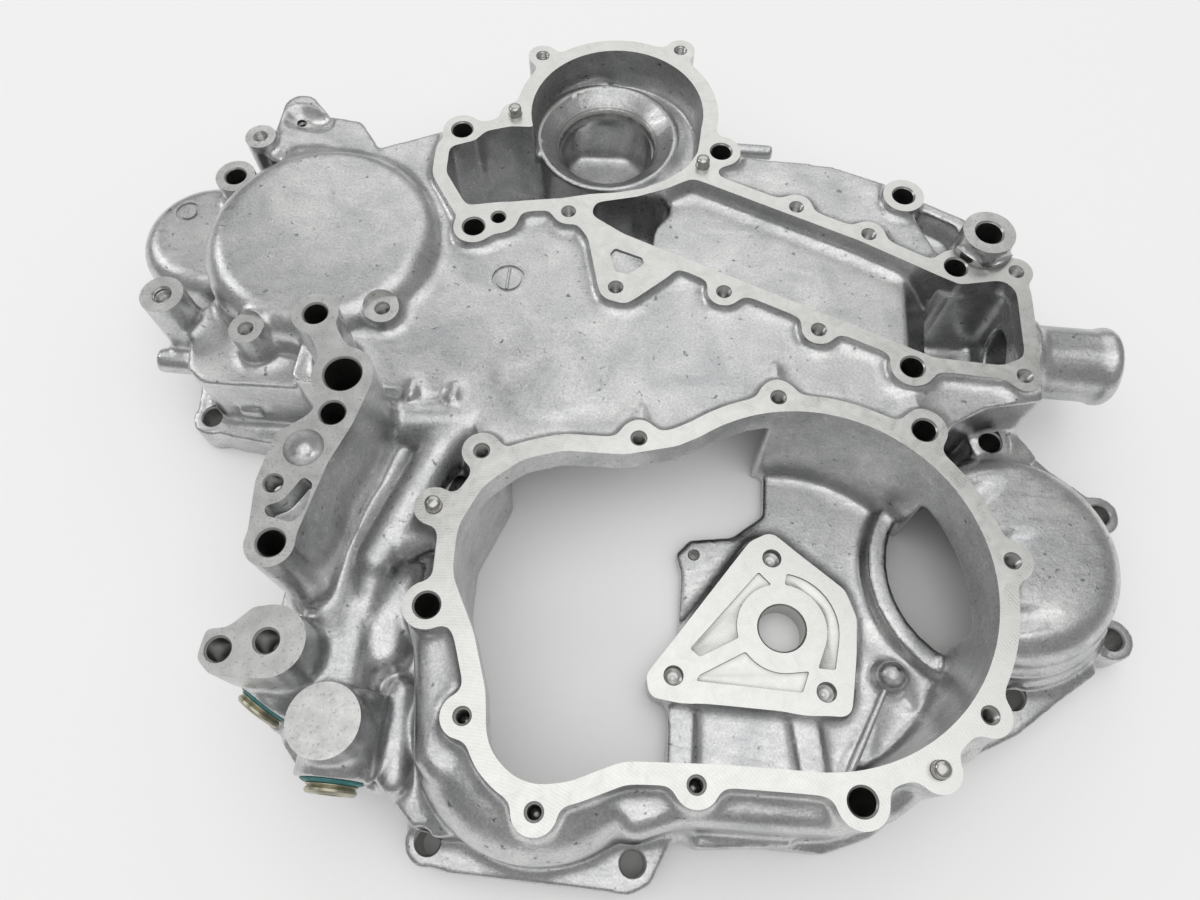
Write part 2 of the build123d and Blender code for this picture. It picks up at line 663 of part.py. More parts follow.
    # Filter face: bolt holes, oil holes, a dish and a kidney recess
    for place, diameter in column_holes:
        prism(discs([place], diameter / 2), 0, column_height, Mode.SUBTRACT)
    prism(discs([blind_hole], blind_diameter / 2), column_height - blind_depth, column_height,
          Mode.SUBTRACT)
    with Locations((*dish_centre, column_height + dish_lift)):
        Sphere(dish_radius, mode=Mode.SUBTRACT)
    prism(closed_shape(kidney_points, 2), column_height - kidney_depth, column_height,
          Mode.SUBTRACT)
    prism(discs(twin_holes, twin_hole_diameter / 2), small_pad_height - twin_hole_depth,
          small_pad_height, Mode.SUBTRACT)

    # Plug holes, each with a spot face in front of its boss
    for plug_plane in (side_plug_plane, lower_plug_plane):
        add(rod(plug_plane(0), plug_diameter / 2 + fit, -plug_length), mode=Mode.SUBTRACT)
        add(rod(plug_plane(0), plug_diameter / 2 + plug_boss_wall, spot_depth), mode=Mode.SUBTRACT)


def dowel(place):
    """A straight pin with rounded ends."""
    with BuildPart() as pin:
        with Locations((*place, face_height + dowel_stand)):
            Cylinder(dowel_diameter / 2, dowel_length, align=(Align.CENTER, Align.CENTER, Align.MAX))
        fillet(pin.edges().filter_by(GeomType.CIRCLE), dowel_blend)
    return pin.part


def screw_plug(plane):
    """A short screw plug with a hexagon socket, seated in its boss."""
    with BuildPart() as plug:
        add(rod(plane, plug_diameter / 2, -plug_length))
        chamfer(plug.edges().filter_by(GeomType.CIRCLE), plug_chamfer)
        with BuildSketch(plane) as socket:
            RegularPolygon(hex_across / 2, 6, major_radius=False)
        extrude(socket.sketch, amount=-hex_depth, mode=Mode.SUBTRACT)
    return plug.part


pieces = {"gear_case": gear_case.part}
for side, place in cover_dowels.items():
    pieces[f"cover_dowel_{side}"] = dowel(place)
for side, place in pump_dowels.items():
    pieces[f"pump_dowel_{side}"] = dowel(place)
pieces["side_screw_plug"] = screw_plug(side_plug_plane(plug_stand))
pieces["lower_screw_plug"] = screw_plug(lower_plug_plane(plug_stand))

os.makedirs("parts", exist_ok=True)
for name, piece in pieces.items():
    piece.label = name
    export_step(piece, f"parts/{name}.step")
    print(name, len(piece.solids()), round(piece.volume))
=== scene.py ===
# %% [markdown]
# This notebook dresses a machined aluminium casting: the front gear case of a small
# diesel engine. The solid model fixes every size and place. Blender adds what a foundry
# and a milling machine leave behind: soft cast corners, a mottled skin, bright cut faces,
# threads in the tapped holes, ground steel dowels and two plated screw plugs.

# %% Load the fixed frame
import math

import bmesh
import bpy
import numpy as np
from mathutils import Matrix, Vector


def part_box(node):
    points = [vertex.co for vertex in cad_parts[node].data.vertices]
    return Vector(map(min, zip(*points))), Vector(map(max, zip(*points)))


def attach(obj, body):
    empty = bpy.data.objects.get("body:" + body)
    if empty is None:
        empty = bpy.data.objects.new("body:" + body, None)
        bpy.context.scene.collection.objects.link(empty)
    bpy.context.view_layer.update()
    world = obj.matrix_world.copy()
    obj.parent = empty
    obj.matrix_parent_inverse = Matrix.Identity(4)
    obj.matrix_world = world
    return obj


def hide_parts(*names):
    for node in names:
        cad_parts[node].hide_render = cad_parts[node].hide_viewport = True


MM = 0.001
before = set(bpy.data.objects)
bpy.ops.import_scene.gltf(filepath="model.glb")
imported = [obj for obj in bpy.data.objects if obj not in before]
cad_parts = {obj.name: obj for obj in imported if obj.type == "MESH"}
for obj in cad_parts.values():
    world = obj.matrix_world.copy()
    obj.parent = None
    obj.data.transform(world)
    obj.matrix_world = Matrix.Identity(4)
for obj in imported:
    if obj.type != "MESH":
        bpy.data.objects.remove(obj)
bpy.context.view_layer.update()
case_low, case_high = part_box("gear_case")
print("case from", tuple(round(v, 4) for v in case_low), "to", tuple(round(v, 4) for v in case_high))

# %% [markdown]
# The photograph looks steeply down at the case, which lies on its block face. The tilt and
# the distance come from how round holes of one size look across the picture, so the camera
# is placed from a tilt, a turn and the point on the floor that lies straight under it.

# %% The camera
CAMERA_TILT = math.radians(25.4)
CAMERA_TURN = math.radians(5.5)
CAMERA_FOOT = (-65.7 * MM, -93.8 * MM)
CAMERA_HEIGHT = 365 * MM
SENSOR = 36.0
FOCAL_SHARE = 872 / 1200  # focal length as a share of the picture's width

camera_data = bpy.data.cameras.new("camera")
camera_data.sensor_width = SENSOR
camera_data.lens = SENSOR * FOCAL_SHARE
camera_data.clip_start = 0.01
camera_data.clip_end = 20
camera = bpy.data.objects.new("camera", camera_data)
camera.location = (*CAMERA_FOOT, CAMERA_HEIGHT)
camera.rotation_euler = (CAMERA_TILT, 0, CAMERA_TURN)
bpy.context.scene.collection.objects.link(camera)
bpy.context.scene.camera = camera
bpy.context.scene.view_settings.view_transform = "Standard"
print("camera tilt", round(math.degrees(CAMERA_TILT), 1), "degrees")

# %% [markdown]
# ## The metals
# One casting shows several surfaces, because each tool leaves its own. A shader needs the
# colour of the bare metal, how rough it is, and a bump from the marks of the tool. All
# patterns read Object coordinates, which are metres here, so a scale is worked out from
# the real size of a mark: a noise with features of 4 mm has a scale of 1 / 0.004.

# %% Helpers for colours and nodes
def srgb(hex_code, alpha=1.0):
    """A colour written as sRGB hex, in the linear values that shaders use."""
    levels = [int(hex_code[i:i + 2], 16) / 255 for i in (1, 3, 5)]
    return (*[c / 12.92 if c < 0.04045 else ((c + 0.055) / 1.055) ** 2.4 for c in levels], alpha)


def add_node(tree, kind, settings=None, **inputs):
    """One node, with its settings, its socket values and its links."""
    node = tree.nodes.new(kind)
    for name, value in (settings or {}).items():
        setattr(node, name, value)
    for name, value in inputs.items():
        key = int(name[1:]) if name[0] == "_" else name.replace("_", " ")
        socket = node.inputs[key]
        if isinstance(value, bpy.types.NodeSocket):
            tree.links.new(value, socket)
        else:
            socket.default_value = value
    return node


def new_material(name):
    """A material with an empty tree, and its Object coordinates."""
    material = bpy.data.materials.new(name)
    material.use_nodes = True
    tree = material.node_tree
    tree.nodes.clear()
    return material, tree, add_node(tree, "ShaderNodeTexCoord").outputs["Object"]


def per_metre(size_mm):
    """The scale of a noise whose features have this size."""
    return 1 / (size_mm * MM)


def wave_scale(spacing_mm):
    """The scale of a wave texture whose rings or bands stand this far apart."""
    return math.tau / 20 / (spacing_mm * MM)


RGB_MIX = {"data_type": "RGBA"}
RGB_MULTIPLY = {"data_type": "RGBA", "blend_type": "MULTIPLY"}
print("4 mm noise scale", per_metre(4), "and 1.4 mm ring scale", round(wave_scale(1.4)))

# %% [markdown]
# ** As-cast skin.** This is the metal as it left the mould: a dull satin grey, because the
# skin is finely uneven. The eye sees three sizes of mark: stains and flow marks about
# 20 mm wide, small sand pits, and a fine grain. Corners are painted darker as painted
# shade: Ambient Occlusion finds those hollows on any shape, and the colour is darkened there.

# %% As-cast aluminium
as_cast, tree, place = new_material("as_cast_aluminium")
stains = add_node(tree, "ShaderNodeTexNoise", Vector=place, Scale=per_metre(20), Detail=5, Roughness=0.62,
                  Distortion=0.6).outputs[0]
flow_place = add_node(tree, "ShaderNodeMapping", Vector=place, Scale=(1, 3.4, 1.6)).outputs[0]
flow = add_node(tree, "ShaderNodeTexNoise", Vector=flow_place, Scale=per_metre(13), Detail=4,
                Distortion=1.2).outputs[0]
grain = add_node(tree, "ShaderNodeTexNoise", Vector=place, Scale=per_metre(1.0), Detail=3,
                 Roughness=0.7).outputs[0]
dimples = add_node(tree, "ShaderNodeTexNoise", Vector=place, Scale=per_metre(3.2), Detail=3).outputs[0]
pits = add_node(tree, "ShaderNodeMapRange", _0=dimples, _1=0.66, _2=0.74).outputs[0]
tone = add_node(tree, "ShaderNodeMapRange", _0=stains, _1=0.32, _2=0.68).outputs[0]
skin = add_node(tree, "ShaderNodeMix", RGB_MIX, _0=tone, _6=srgb("#C1C2C3"), _7=srgb("#E2E2E1")).outputs[2]
speck = add_node(tree, "ShaderNodeMapRange", _0=grain, _1=0.36, _2=0.62, _3=0.82, _4=1.06).outputs[0]
skin = add_node(tree, "ShaderNodeMix", RGB_MULTIPLY, _0=1.0, _6=skin, _7=speck).outputs[2]
# Painted shade: the sand pits are painted a darker grey, for the shade inside them.
skin = add_node(tree, "ShaderNodeMix", RGB_MIX, _0=pits, _6=skin, _7=srgb("#8B8D90")).outputs[2]
# Painted shade: the colour is darkened in the hollows and corners that Ambient Occlusion finds.
open_share = add_node(tree, "ShaderNodeAmbientOcclusion", {"samples": 6, "only_local": True},
                      Distance=7 * MM).outputs["AO"]
painted_cast_corner_shade = add_node(tree, "ShaderNodeMapRange", _0=open_share, _1=0.3, _2=0.8, _3=0.72, _4=1.0).outputs[0]
skin = add_node(tree, "ShaderNodeMix", RGB_MULTIPLY, _0=1.0, _6=skin, _7=painted_cast_corner_shade).outputs[2]
gloss = add_node(tree, "ShaderNodeMapRange", _0=flow, _1=0.3, _2=0.7, _3=0.25, _4=0.4).outputs[0]
relief = add_node(tree, "ShaderNodeMath", {"operation": "MULTIPLY_ADD"}, _0=dimples, _1=1.6,
                  _2=grain).outputs[0]
relief = add_node(tree, "ShaderNodeMath", {"operation": "SUBTRACT"}, _0=relief, _1=pits).outputs[0]
bump = add_node(tree, "ShaderNodeBump", Strength=0.42, Distance=0.16 * MM, Height=relief).outputs[0]
shader = add_node(tree, "ShaderNodeBsdfPrincipled", Metallic=1.0, Roughness=gloss, Base_Color=skin,
                  Normal=bump)
add_node(tree, "ShaderNodeOutputMaterial", Surface=shader.outputs[0])
print("as-cast skin:", len(tree.nodes), "nodes")

# %% [markdown]
# **Face-milled metal.** A wide cutter runs over the gasket faces and leaves arcs of its own
# radius, feed mark beside feed mark, and its rear edge cuts them a second time, crossed.
# Two ring waves with far-apart centres draw that cross pattern. Real feed marks are too
# fine to show in the render, so they are drawn 1.1 mm apart.

# %% Milled aluminium
milled, tree, place = new_material("face_milled_aluminium")
streaks = add_node(tree, "ShaderNodeTexNoise", Vector=place, Scale=per_metre(7), Detail=5, Roughness=0.7,
                   Distortion=0.8).outputs[0]
CUTTER_CENTRES = [(-0.115, -0.16, 0), (0.09, 0.24, 0)]
marks = []
for centre in CUTTER_CENTRES:
    shift = tuple(-c for c in centre)
    centred = add_node(tree, "ShaderNodeMapping", Vector=place, Location=shift).outputs[0]
    marks.append(add_node(tree, "ShaderNodeTexWave", {"wave_type": "RINGS", "rings_direction": "Z"},
                          Vector=centred, Scale=wave_scale(1.1), Distortion=1.2, Detail=2,
                          Detail_Scale=1.5).outputs[1])
crossed = add_node(tree, "ShaderNodeMath", {"operation": "MULTIPLY_ADD"}, _0=marks[1], _1=0.5,
                   _2=marks[0]).outputs[0]
tone = add_node(tree, "ShaderNodeMapRange", _0=streaks, _1=0.3, _2=0.7).outputs[0]
face = add_node(tree, "ShaderNodeMix", RGB_MIX, _0=tone, _6=srgb("#D0D0CC"), _7=srgb("#E9E9E6")).outputs[2]
line = add_node(tree, "ShaderNodeMapRange", _0=crossed, _1=0.2, _2=1.3, _3=0.95, _4=1.02).outputs[0]
face = add_node(tree, "ShaderNodeMix", RGB_MULTIPLY, _0=1.0, _6=face, _7=line).outputs[2]
# Painted shade: near the corners and walls that Ambient Occlusion finds, the face colour is darkened.
painted_milled_corner_shade = add_node(tree, "ShaderNodeAmbientOcclusion", {"samples": 6, "only_local": True},
                  Distance=2 * MM).outputs["AO"]
painted_milled_corner_shade = add_node(tree, "ShaderNodeMapRange", _0=painted_milled_corner_shade, _1=0.4, _2=0.95, _3=0.45, _4=1.0).outputs[0]
face = add_node(tree, "ShaderNodeMix", RGB_MULTIPLY, _0=1.0, _6=face, _7=painted_milled_corner_shade).outputs[2]
gloss = add_node(tree, "ShaderNodeMapRange", _0=streaks, _1=0.3, _2=0.7, _3=0.24, _4=0.36).outputs[0]
bump = add_node(tree, "ShaderNodeBump", Strength=0.16, Distance=0.04 * MM, Height=crossed).outputs[0]
shader = add_node(tree, "ShaderNodeBsdfPrincipled", Metallic=1.0, Roughness=gloss, Base_Color=face,
                  Normal=bump)
add_node(tree, "ShaderNodeOutputMaterial", Surface=shader.outputs[0])
print("milled face:", len(tree.nodes), "nodes")

# %% [markdown]
# **Milled metal with open pores.** The filter face and the raised pads are cut deeper into
# the casting, where small gas pores lie. They show as dark specks under 1 mm on bright
# metal. A noise cut off near its top leaves such scattered specks.

# %% Porous milled aluminium
porous, tree, place = new_material("porous_milled_aluminium")
blots = add_node(tree, "ShaderNodeTexNoise", Vector=place, Scale=per_metre(1.3), Detail=4,
                 Roughness=0.75).outputs[0]
cloud = add_node(tree, "ShaderNodeTexNoise", Vector=place, Scale=per_metre(6), Detail=3).outputs[0]
tone = add_node(tree, "ShaderNodeMapRange", _0=cloud, _1=0.3, _2=0.7).outputs[0]
face = add_node(tree, "ShaderNodeMix", RGB_MIX, _0=tone, _6=srgb("#C4C4C2"), _7=srgb("#DCDCDA")).outputs[2]
# Painted shade: the pores are painted a darker grey, for the shade inside them.
pores = add_node(tree, "ShaderNodeMapRange", _0=blots, _1=0.57, _2=0.66).outputs[0]
face = add_node(tree, "ShaderNodeMix", RGB_MIX, _0=pores, _6=face, _7=srgb("#A7A7A4")).outputs[2]
bump = add_node(tree, "ShaderNodeBump", {"invert": True}, Strength=0.4, Distance=0.12 * MM,
                Height=blots).outputs[0]
gloss = add_node(tree, "ShaderNodeMapRange", _0=blots, _1=0.35, _2=0.7, _3=0.27, _4=0.44).outputs[0]
shader = add_node(tree, "ShaderNodeBsdfPrincipled", Metallic=1.0, Roughness=gloss, Base_Color=face,
                  Normal=bump)
add_node(tree, "ShaderNodeOutputMaterial", Surface=shader.outputs[0])
print("porous face:", len(tree.nodes), "nodes")

# %% [markdown]
# **Drilled and turned metal.** A drill leaves rings round the wall of its hole, and a
# boring tool leaves rings on the cone of the pump's eye. Both are bands across the
# tool's axis, which is upright, so a band wave along Z draws them on either wall.

# %% Drilled and turned aluminium
drilled, tree, place = new_material("drilled_aluminium")
rings = add_node(tree, "ShaderNodeTexWave", {"wave_type": "BANDS", "bands_direction": "Z"}, Vector=place,
                 Scale=wave_scale(0.9), Distortion=0.5, Detail=2, Detail_Scale=2.0).outputs[1]
# Painted shade: these colours are darker than the milled face, as the walls of deep holes lie in shade.
drill_wall_painted_shade = add_node(tree, "ShaderNodeMix", RGB_MIX, _0=rings, _6=srgb("#B2B2B0"), _7=srgb("#D2D2D0")).outputs[2]
bump = add_node(tree, "ShaderNodeBump", Strength=0.3, Distance=0.06 * MM, Height=rings).outputs[0]
shader = add_node(tree, "ShaderNodeBsdfPrincipled", Metallic=1.0, Roughness=0.3, Base_Color=drill_wall_painted_shade,
                  Normal=bump)
add_node(tree, "ShaderNodeOutputMaterial", Surface=shader.outputs[0])
print("drilled wall:", len(tree.nodes), "nodes")


# %% [markdown]
# ## The casting
# A real case is poured first and machined afterwards. The cast skin has soft corners
# everywhere, and each machined face is a flat cut through that skin with a crisp edge.
# Bevelling hundreds of edges by hand would never give that, so the same order is followed
# here: put stock on every machined face, fill every hole, melt the whole body into one
# skin with a voxel remesh, round its corners, and only then mill and drill it.

# %% Sizes of the machining
FINISHES = [as_cast, milled, drilled, porous]
AS_CAST, MILLED, DRILLED, POROUS = range(4)
STOCK = 3.0 * MM  # metal left on a face before it is milled
VOXEL = 1.05 * MM
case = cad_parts["gear_case"]

# Heights of the machined faces in millimetres, over the block face
FRONT_FACE = 66
FILTER_FACE = 96
LOWER_PADS = 73
HOIST_LUG = 74
CUP_BOSSES = 68
UPPER_LUG = 60
OIL_PUMP_PAD = 12
MILLED_HEIGHTS = {
    "gasket_faces": FRONT_FACE, "filter_face": FILTER_FACE, "lower_pads": LOWER_PADS,
    "hoist_lug": HOIST_LUG, "cup_bosses": CUP_BOSSES, "upper_lug": UPPER_LUG,
    "oil_pump_pad": OIL_PUMP_PAD,
}

# Heights that stay as cast
RAIL = 16
CORNER_LUG = 38
WEB = 6

# %% [markdown]
# The holes are listed once here, because they are needed twice: to be filled before the
# remesh and to be drilled after it. They stand where the solid model has them. A tapped
# hole is listed by its thread, while the solid model has the narrower hole drilled for it.

# %% The tapped holes: place, top, bottom, diameter and pitch in millimetres
COVER_THREADS = [(-124, 43), (-65, 54), (-12, 77), (72, 18), (59, -37), (-37, -68), (-88, -81),
                 (-115.5, -54)]
PUMP_THREADS = [(-127, 255), (-61, 265), (-104, 161), (-80, 123), (-35, 125), (4, 110), (-5, 173),
                (26, 161), (87, 147), (85, 96)]
CUP_THREADS = [(-248, 189), (-174, 102), (-227, 87)]
LARGE_CUP_THREAD = (-266, 100)
M6 = (6.0, 1.0)
M8 = (8.0, 1.25)
THREADED = [(p, FRONT_FACE, 52, *M6) for p in COVER_THREADS]
THREADED += [(p, FRONT_FACE, 54, *M6) for p in PUMP_THREADS]
THREADED += [(p, CUP_BOSSES, 50, *M6) for p in CUP_THREADS]
THREADED += [(LARGE_CUP_THREAD, CUP_BOSSES, 50, *M8)]
print(len(THREADED), "tapped holes")

# %% The plain holes: place, top, bottom and diameter in millimetres
CLEARANCE = 9.0
THROUGH = -1  # the bottom of a hole that runs out through the block face
COVER_HOLES = [(44, 68), (-134, -18), (16, -68)]
PUMP_HOLES = [(-158, 204), (-39, 202), (-144, 149), (62, 147), (41, 96)]
RAIL_HOLES = [(-129, -92.5), (-54, -92.5), (131.3, 7.2), (134, 61), (89, -20), (-257, 71)]
UPPER_RIGHT_LUG_PLACE = (42, 184)
CORNER_LUG_PLACE = (81, 80)
UPPER_LUG_PLACE = (-258, 172)
HOIST_PLACE = (74, 160)
DRAIN_PLACE = (-134, 155)
EAR_PIN_PLACE = (-236, 207)
FILTER_HOLES = [((-188, 79), 8.6), ((-172.3, 54.7), 13.2), ((-172.3, 38.9), 8.6), ((-181.5, -10), 9.0)]
FILTER_BLIND_PLACE = (-186, 10.7)
TWIN_PAD_HOLES = [(-199.2, -41.4), (-183.8, -37.1)]
PAD_SCREWS = [(-4.5, 29.5), (-43, -23.3), (17.8, -24)]
PAD_SCREW_DIAMETER = 7.6
PUMP_BORE_PLACE = (0, 0)
SMALL_WEB_PLACE = (-37, 30)

PLAIN = [(p, FRONT_FACE, THROUGH, CLEARANCE) for p in COVER_HOLES + PUMP_HOLES + [UPPER_RIGHT_LUG_PLACE]]
PLAIN += [(p, RAIL, THROUGH, CLEARANCE) for p in RAIL_HOLES]
PLAIN += [(CORNER_LUG_PLACE, CORNER_LUG, THROUGH, CLEARANCE)]
PLAIN += [(UPPER_LUG_PLACE, UPPER_LUG, THROUGH, CLEARANCE)]
PLAIN += [(HOIST_PLACE, HOIST_LUG, THROUGH, 11.0), (DRAIN_PLACE, FRONT_FACE, THROUGH, 5.6)]
PLAIN += [(EAR_PIN_PLACE, 58, 48, 3.0)]
PLAIN += [(p, FILTER_FACE, THROUGH, size) for p, size in FILTER_HOLES]
PLAIN += [(FILTER_BLIND_PLACE, FILTER_FACE, 87, 5.8)]
PLAIN += [(p, LOWER_PADS, 55, 8.0) for p in TWIN_PAD_HOLES]
PLAIN += [(p, OIL_PUMP_PAD, 8, PAD_SCREW_DIAMETER) for p in PAD_SCREWS]
PLAIN += [(PUMP_BORE_PLACE, OIL_PUMP_PAD, THROUGH, 19.0), (SMALL_WEB_PLACE, WEB, THROUGH, 4.0)]

DOWELS = {"cover_dowel_left": (-138, 19), "cover_dowel_right": (41, -56),
          "pump_dowel_left": (-135, 216), "pump_dowel_right": (-47, 193)}
DOWEL_DIAMETER = 6.0
DOWEL_HOLES = [(p, FRONT_FACE, 56, DOWEL_DIAMETER) for p in DOWELS.values()]
print(len(PLAIN), "plain holes and", len(DOWEL_HOLES), "dowel holes")


# %% [markdown]
# The casting and its cutters are built from a few closed shapes. Several of them may share
# one bmesh, and they may overlap, because the remesh takes the skin round all of them. The
# Boolean cutters need closed shapes too, since an open one has no inside.

# %% Helpers for closed shapes and modifiers
def new_piece(name, bm, materials=(), material_index=0):
    """Turn a bmesh into an object, with one finish on all its faces."""
    for face in bm.faces:
        face.material_index = material_index or face.material_index
    mesh = bpy.data.meshes.new(name)
    bm.to_mesh(mesh)
    bm.free()
    for material in materials:
        mesh.materials.append(material)
    piece = bpy.data.objects.new(name, mesh)
    bpy.context.scene.collection.objects.link(piece)
    return piece


def cylinder(bm, place, top, bottom, diameter, segments=40):
    """A closed upright cylinder, sized in millimetres."""
    middle = Matrix.Translation((place[0] * MM, place[1] * MM, (top + bottom) / 2 * MM))
    return bmesh.ops.create_cone(bm, cap_ends=True, segments=segments, radius1=diameter / 2 * MM,
                                 radius2=diameter / 2 * MM, depth=(top - bottom) * MM, matrix=middle)


def block(bm, low, high):
    """A closed box between two corners in millimetres."""
    size = [(b - a) * MM for a, b in zip(low, high)]
    middle = [(b + a) / 2 * MM for a, b in zip(low, high)]
    return bmesh.ops.create_cube(bm, matrix=Matrix.LocRotScale(Vector(middle), None, Vector(size)))


def outline_block(bm, points, bottom, top, grow=1.0):
    """A closed upright block on a flat outline, in millimetres."""
    corners = [bm.verts.new((x * MM, y * MM, bottom * MM)) for x, y in points]
    middle = sum((v.co for v in corners), Vector()) / len(corners)
    bmesh.ops.scale(bm, verts=corners, vec=(grow, grow, 1), space=Matrix.Translation(-middle))
    flat = bm.faces.new(corners)
    raised = bmesh.ops.extrude_face_region(bm, geom=[flat], use_keep_orig=True)["geom"]
    raised_verts = [g for g in raised if isinstance(g, bmesh.types.BMVert)]
    bmesh.ops.translate(bm, verts=raised_verts, vec=(0, 0, (top - bottom) * MM))
    sides = {f for v in corners + raised_verts for f in v.link_faces}
    bmesh.ops.recalc_face_normals(bm, faces=list(sides))


def rod(bm, start, end, radius, segments=24):
    """A closed round rod between two points in millimetres, with a ball at each end."""
    start, end = Vector(start) * MM, Vector(end) * MM
    turn = (end - start).to_track_quat("Z", "Y").to_matrix().to_4x4()
    bmesh.ops.create_cone(bm, cap_ends=True, segments=segments, radius1=radius * MM, radius2=radius * MM,
                          depth=(end - start).length, matrix=Matrix.Translation((start + end) / 2) @ turn)
    for tip in (start, end):
        bmesh.ops.create_uvsphere(bm, u_segments=segments, v_segments=12, radius=radius * MM * 0.999,
                                  matrix=Matrix.Translation(tip) @ turn)


def apply_modifier(piece, kind, settings):
    """Add one modifier with its settings and bake its result into the piece's mesh."""
    modifier = piece.modifiers.new(kind.lower(), kind)
    for name, value in settings.items():
        setattr(modifier, name, value)
    graph = bpy.context.evaluated_depsgraph_get()
    mesh = bpy.data.meshes.new_from_object(piece.evaluated_get(graph), depsgraph=graph)
    piece.modifiers.clear()
    old = piece.data
    piece.data = mesh
    bpy.data.meshes.remove(old)
    return piece


# %% [markdown]
# Shallow pockets would melt away in the remesh, so they are filled first, like the holes,
# and cut again afterwards. Their outlines are the ones of the solid model. In the valley
# beside the filter column the galleries swell the wall. Rods with round ends are laid
# there, and the remesh melts them into it.

# %% The swells of the valley: start, end and radius of each rod in millimetres
VALLEY_RUNS = [((-160, 52, 41), (-168, 8, 38), 11.0), ((-168, 8, 38), (-165, -50, 38), 12.0),
               ((-150, 20, 38), (-152, -30, 36), 9.0), ((-136, 50, 44), (-126, 50, 44), 8.0)]
print(len(VALLEY_RUNS), "swells")


# %% The outlines of the shallow pockets
def arc(radius, start, end, steps=12):
    """Points on a circle about the pump bore, between two angles in degrees."""
    angles = [math.radians(start + (end - start) * i / steps) for i in range(steps + 1)]
    return [(radius * math.cos(a), radius * math.sin(a)) for a in angles]


PAD_POCKETS = [
    [(-10, 23)] + arc(18.4, 104, 198) + [(-33, -15), (-37, -12)],
    arc(18.2, 217, 282) + [(11, -16.5), (8.4, -25.2), (-34, -24.6), (-32.5, -22)],
    arc(23.4, 86, -8) + [(21.5, -15), (14.5, -15)] + arc(18.4, -16, 87),
]
PAD_MIDDLE = [(-12, 33), (-5, 38), (3, 32), (24.5, 17), (28.5, 6), (28, -8), (26, -31), (-50, -31),
              (-51, -25), (-41.5, -9.5)]
GUSSET_POCKET = [(-84, 140), (-82, 143), (-70, 139), (-69, 136), (-75, 130), (-81, 131)]
KIDNEY = [(-176.5, 14), (-172.5, 12), (-173, 2), (-176, -2.6), (-185.5, -1), (-186.8, 2), (-181.5, 4.7),
          (-178.7, 9.5)]
DISH_PLACE = (-179, 24.6)
DISH_RADIUS = 7.2
DISH_RISE = 1.5  # how far the centre of its ball lies over the face
print(len(PAD_POCKETS), "pad pockets, a gusset pocket, a kidney and a dish")


# %% [markdown]
# Stock is the metal that a mill takes off again. Each flat face at a machined height is
# copied, sunk a little and extruded upwards, which gives a closed slab that overlaps the
# casting. A cylinder a little wider than the hole fills each hole.

# %% Merge the casting, add stock to its machined faces and fill its holes
LEVEL = 0.999  # a face counts as level when its normal points up by this much
FILL_EXTRA = 0.8  # how much wider a fill is than its hole
OVER_STOCK = STOCK / MM


def add_stock(bm, height):
    """Raise the flat faces at one height by the stock, as closed slabs sunk a little in."""
    flat = [f for f in bm.faces if f.normal.z > LEVEL
            and abs(f.calc_center_median().z - height * MM) < 0.05 * MM]
    made = bmesh.ops.duplicate(bm, geom=flat)["geom"]
    sheet = [g for g in made if isinstance(g, bmesh.types.BMFace)]
    corners = list({v for f in sheet for v in f.verts})
    bmesh.ops.translate(bm, verts=corners, vec=(0, 0, -VOXEL))
    raised = bmesh.ops.extrude_face_region(bm, geom=sheet, use_keep_orig=True)["geom"]
    raised = [g for g in raised if isinstance(g, bmesh.types.BMVert)]
    bmesh.ops.translate(bm, verts=raised, vec=(0, 0, STOCK + VOXEL))
    bmesh.ops.reverse_faces(bm, faces=sheet)
    return len(flat)


body = bmesh.new()
body.from_mesh(case.data)
bmesh.ops.remove_doubles(body, verts=body.verts, dist=0.004 * MM)
body.normal_update()
for part_name, height in MILLED_HEIGHTS.items():
    print("stock on", part_name, add_stock(body, height), "faces")
for place, top, bottom, diameter, *_ in THREADED + PLAIN + DOWEL_HOLES:
    raised = OVER_STOCK if top in MILLED_HEIGHTS.values() else 0
    cylinder(body, place, top + raised, max(bottom, 0), diameter + FILL_EXTRA)
for start, end, radius in VALLEY_RUNS:
    rod(body, start, end, radius)
outline_block(body, PAD_MIDDLE, WEB, OIL_PUMP_PAD + OVER_STOCK)
outline_block(body, KIDNEY, 84, FILTER_FACE + OVER_STOCK, grow=1.05)
outline_block(body, GUSSET_POCKET, 60, FRONT_FACE + OVER_STOCK, grow=1.15)
cylinder(body, DISH_PLACE, top=FILTER_FACE + OVER_STOCK, bottom=85, diameter=14.8)
print("open edges before the remesh", sum(not e.is_manifold for e in body.edges))
casting = new_piece("gear_case_casting", body, FINISHES)

# %% [markdown]
# The Remesh modifier in its voxel mode lays a grid through the body and draws one closed
# skin round everything that is inside. The grid is fine enough to keep the 5 mm walls, and
# coarse enough for the later steps to be quick.

# %% Melt it into one skin
apply_modifier(casting, "REMESH", {"mode": "VOXEL", "voxel_size": VOXEL})
print("remeshed skin", len(casting.data.vertices), "points")

# %% [markdown]
# Cast corners come from the mould. Outside edges are only just broken, while inside
# corners carry wide fillets, so that the metal flows. Plain smoothing would round both
# alike and eat thin walls. So a few passes touch everything, and the later passes move
# only points in a hollow corner, which fills it like a fillet and takes nothing away.

# %% Round the cast corners
SOFT_PASSES = 5
SOFT_SHARE = 0.5  # how far a soft pass moves a point towards its neighbours' middle
FILLET_PASSES = 34
FILLET_SHARE = 0.6
HOLLOW = 0.012 * MM  # a point pulled outwards by more than this lies in a hollow corner
NORMALS_EVERY = 6  # fillet passes between two updates of the normals


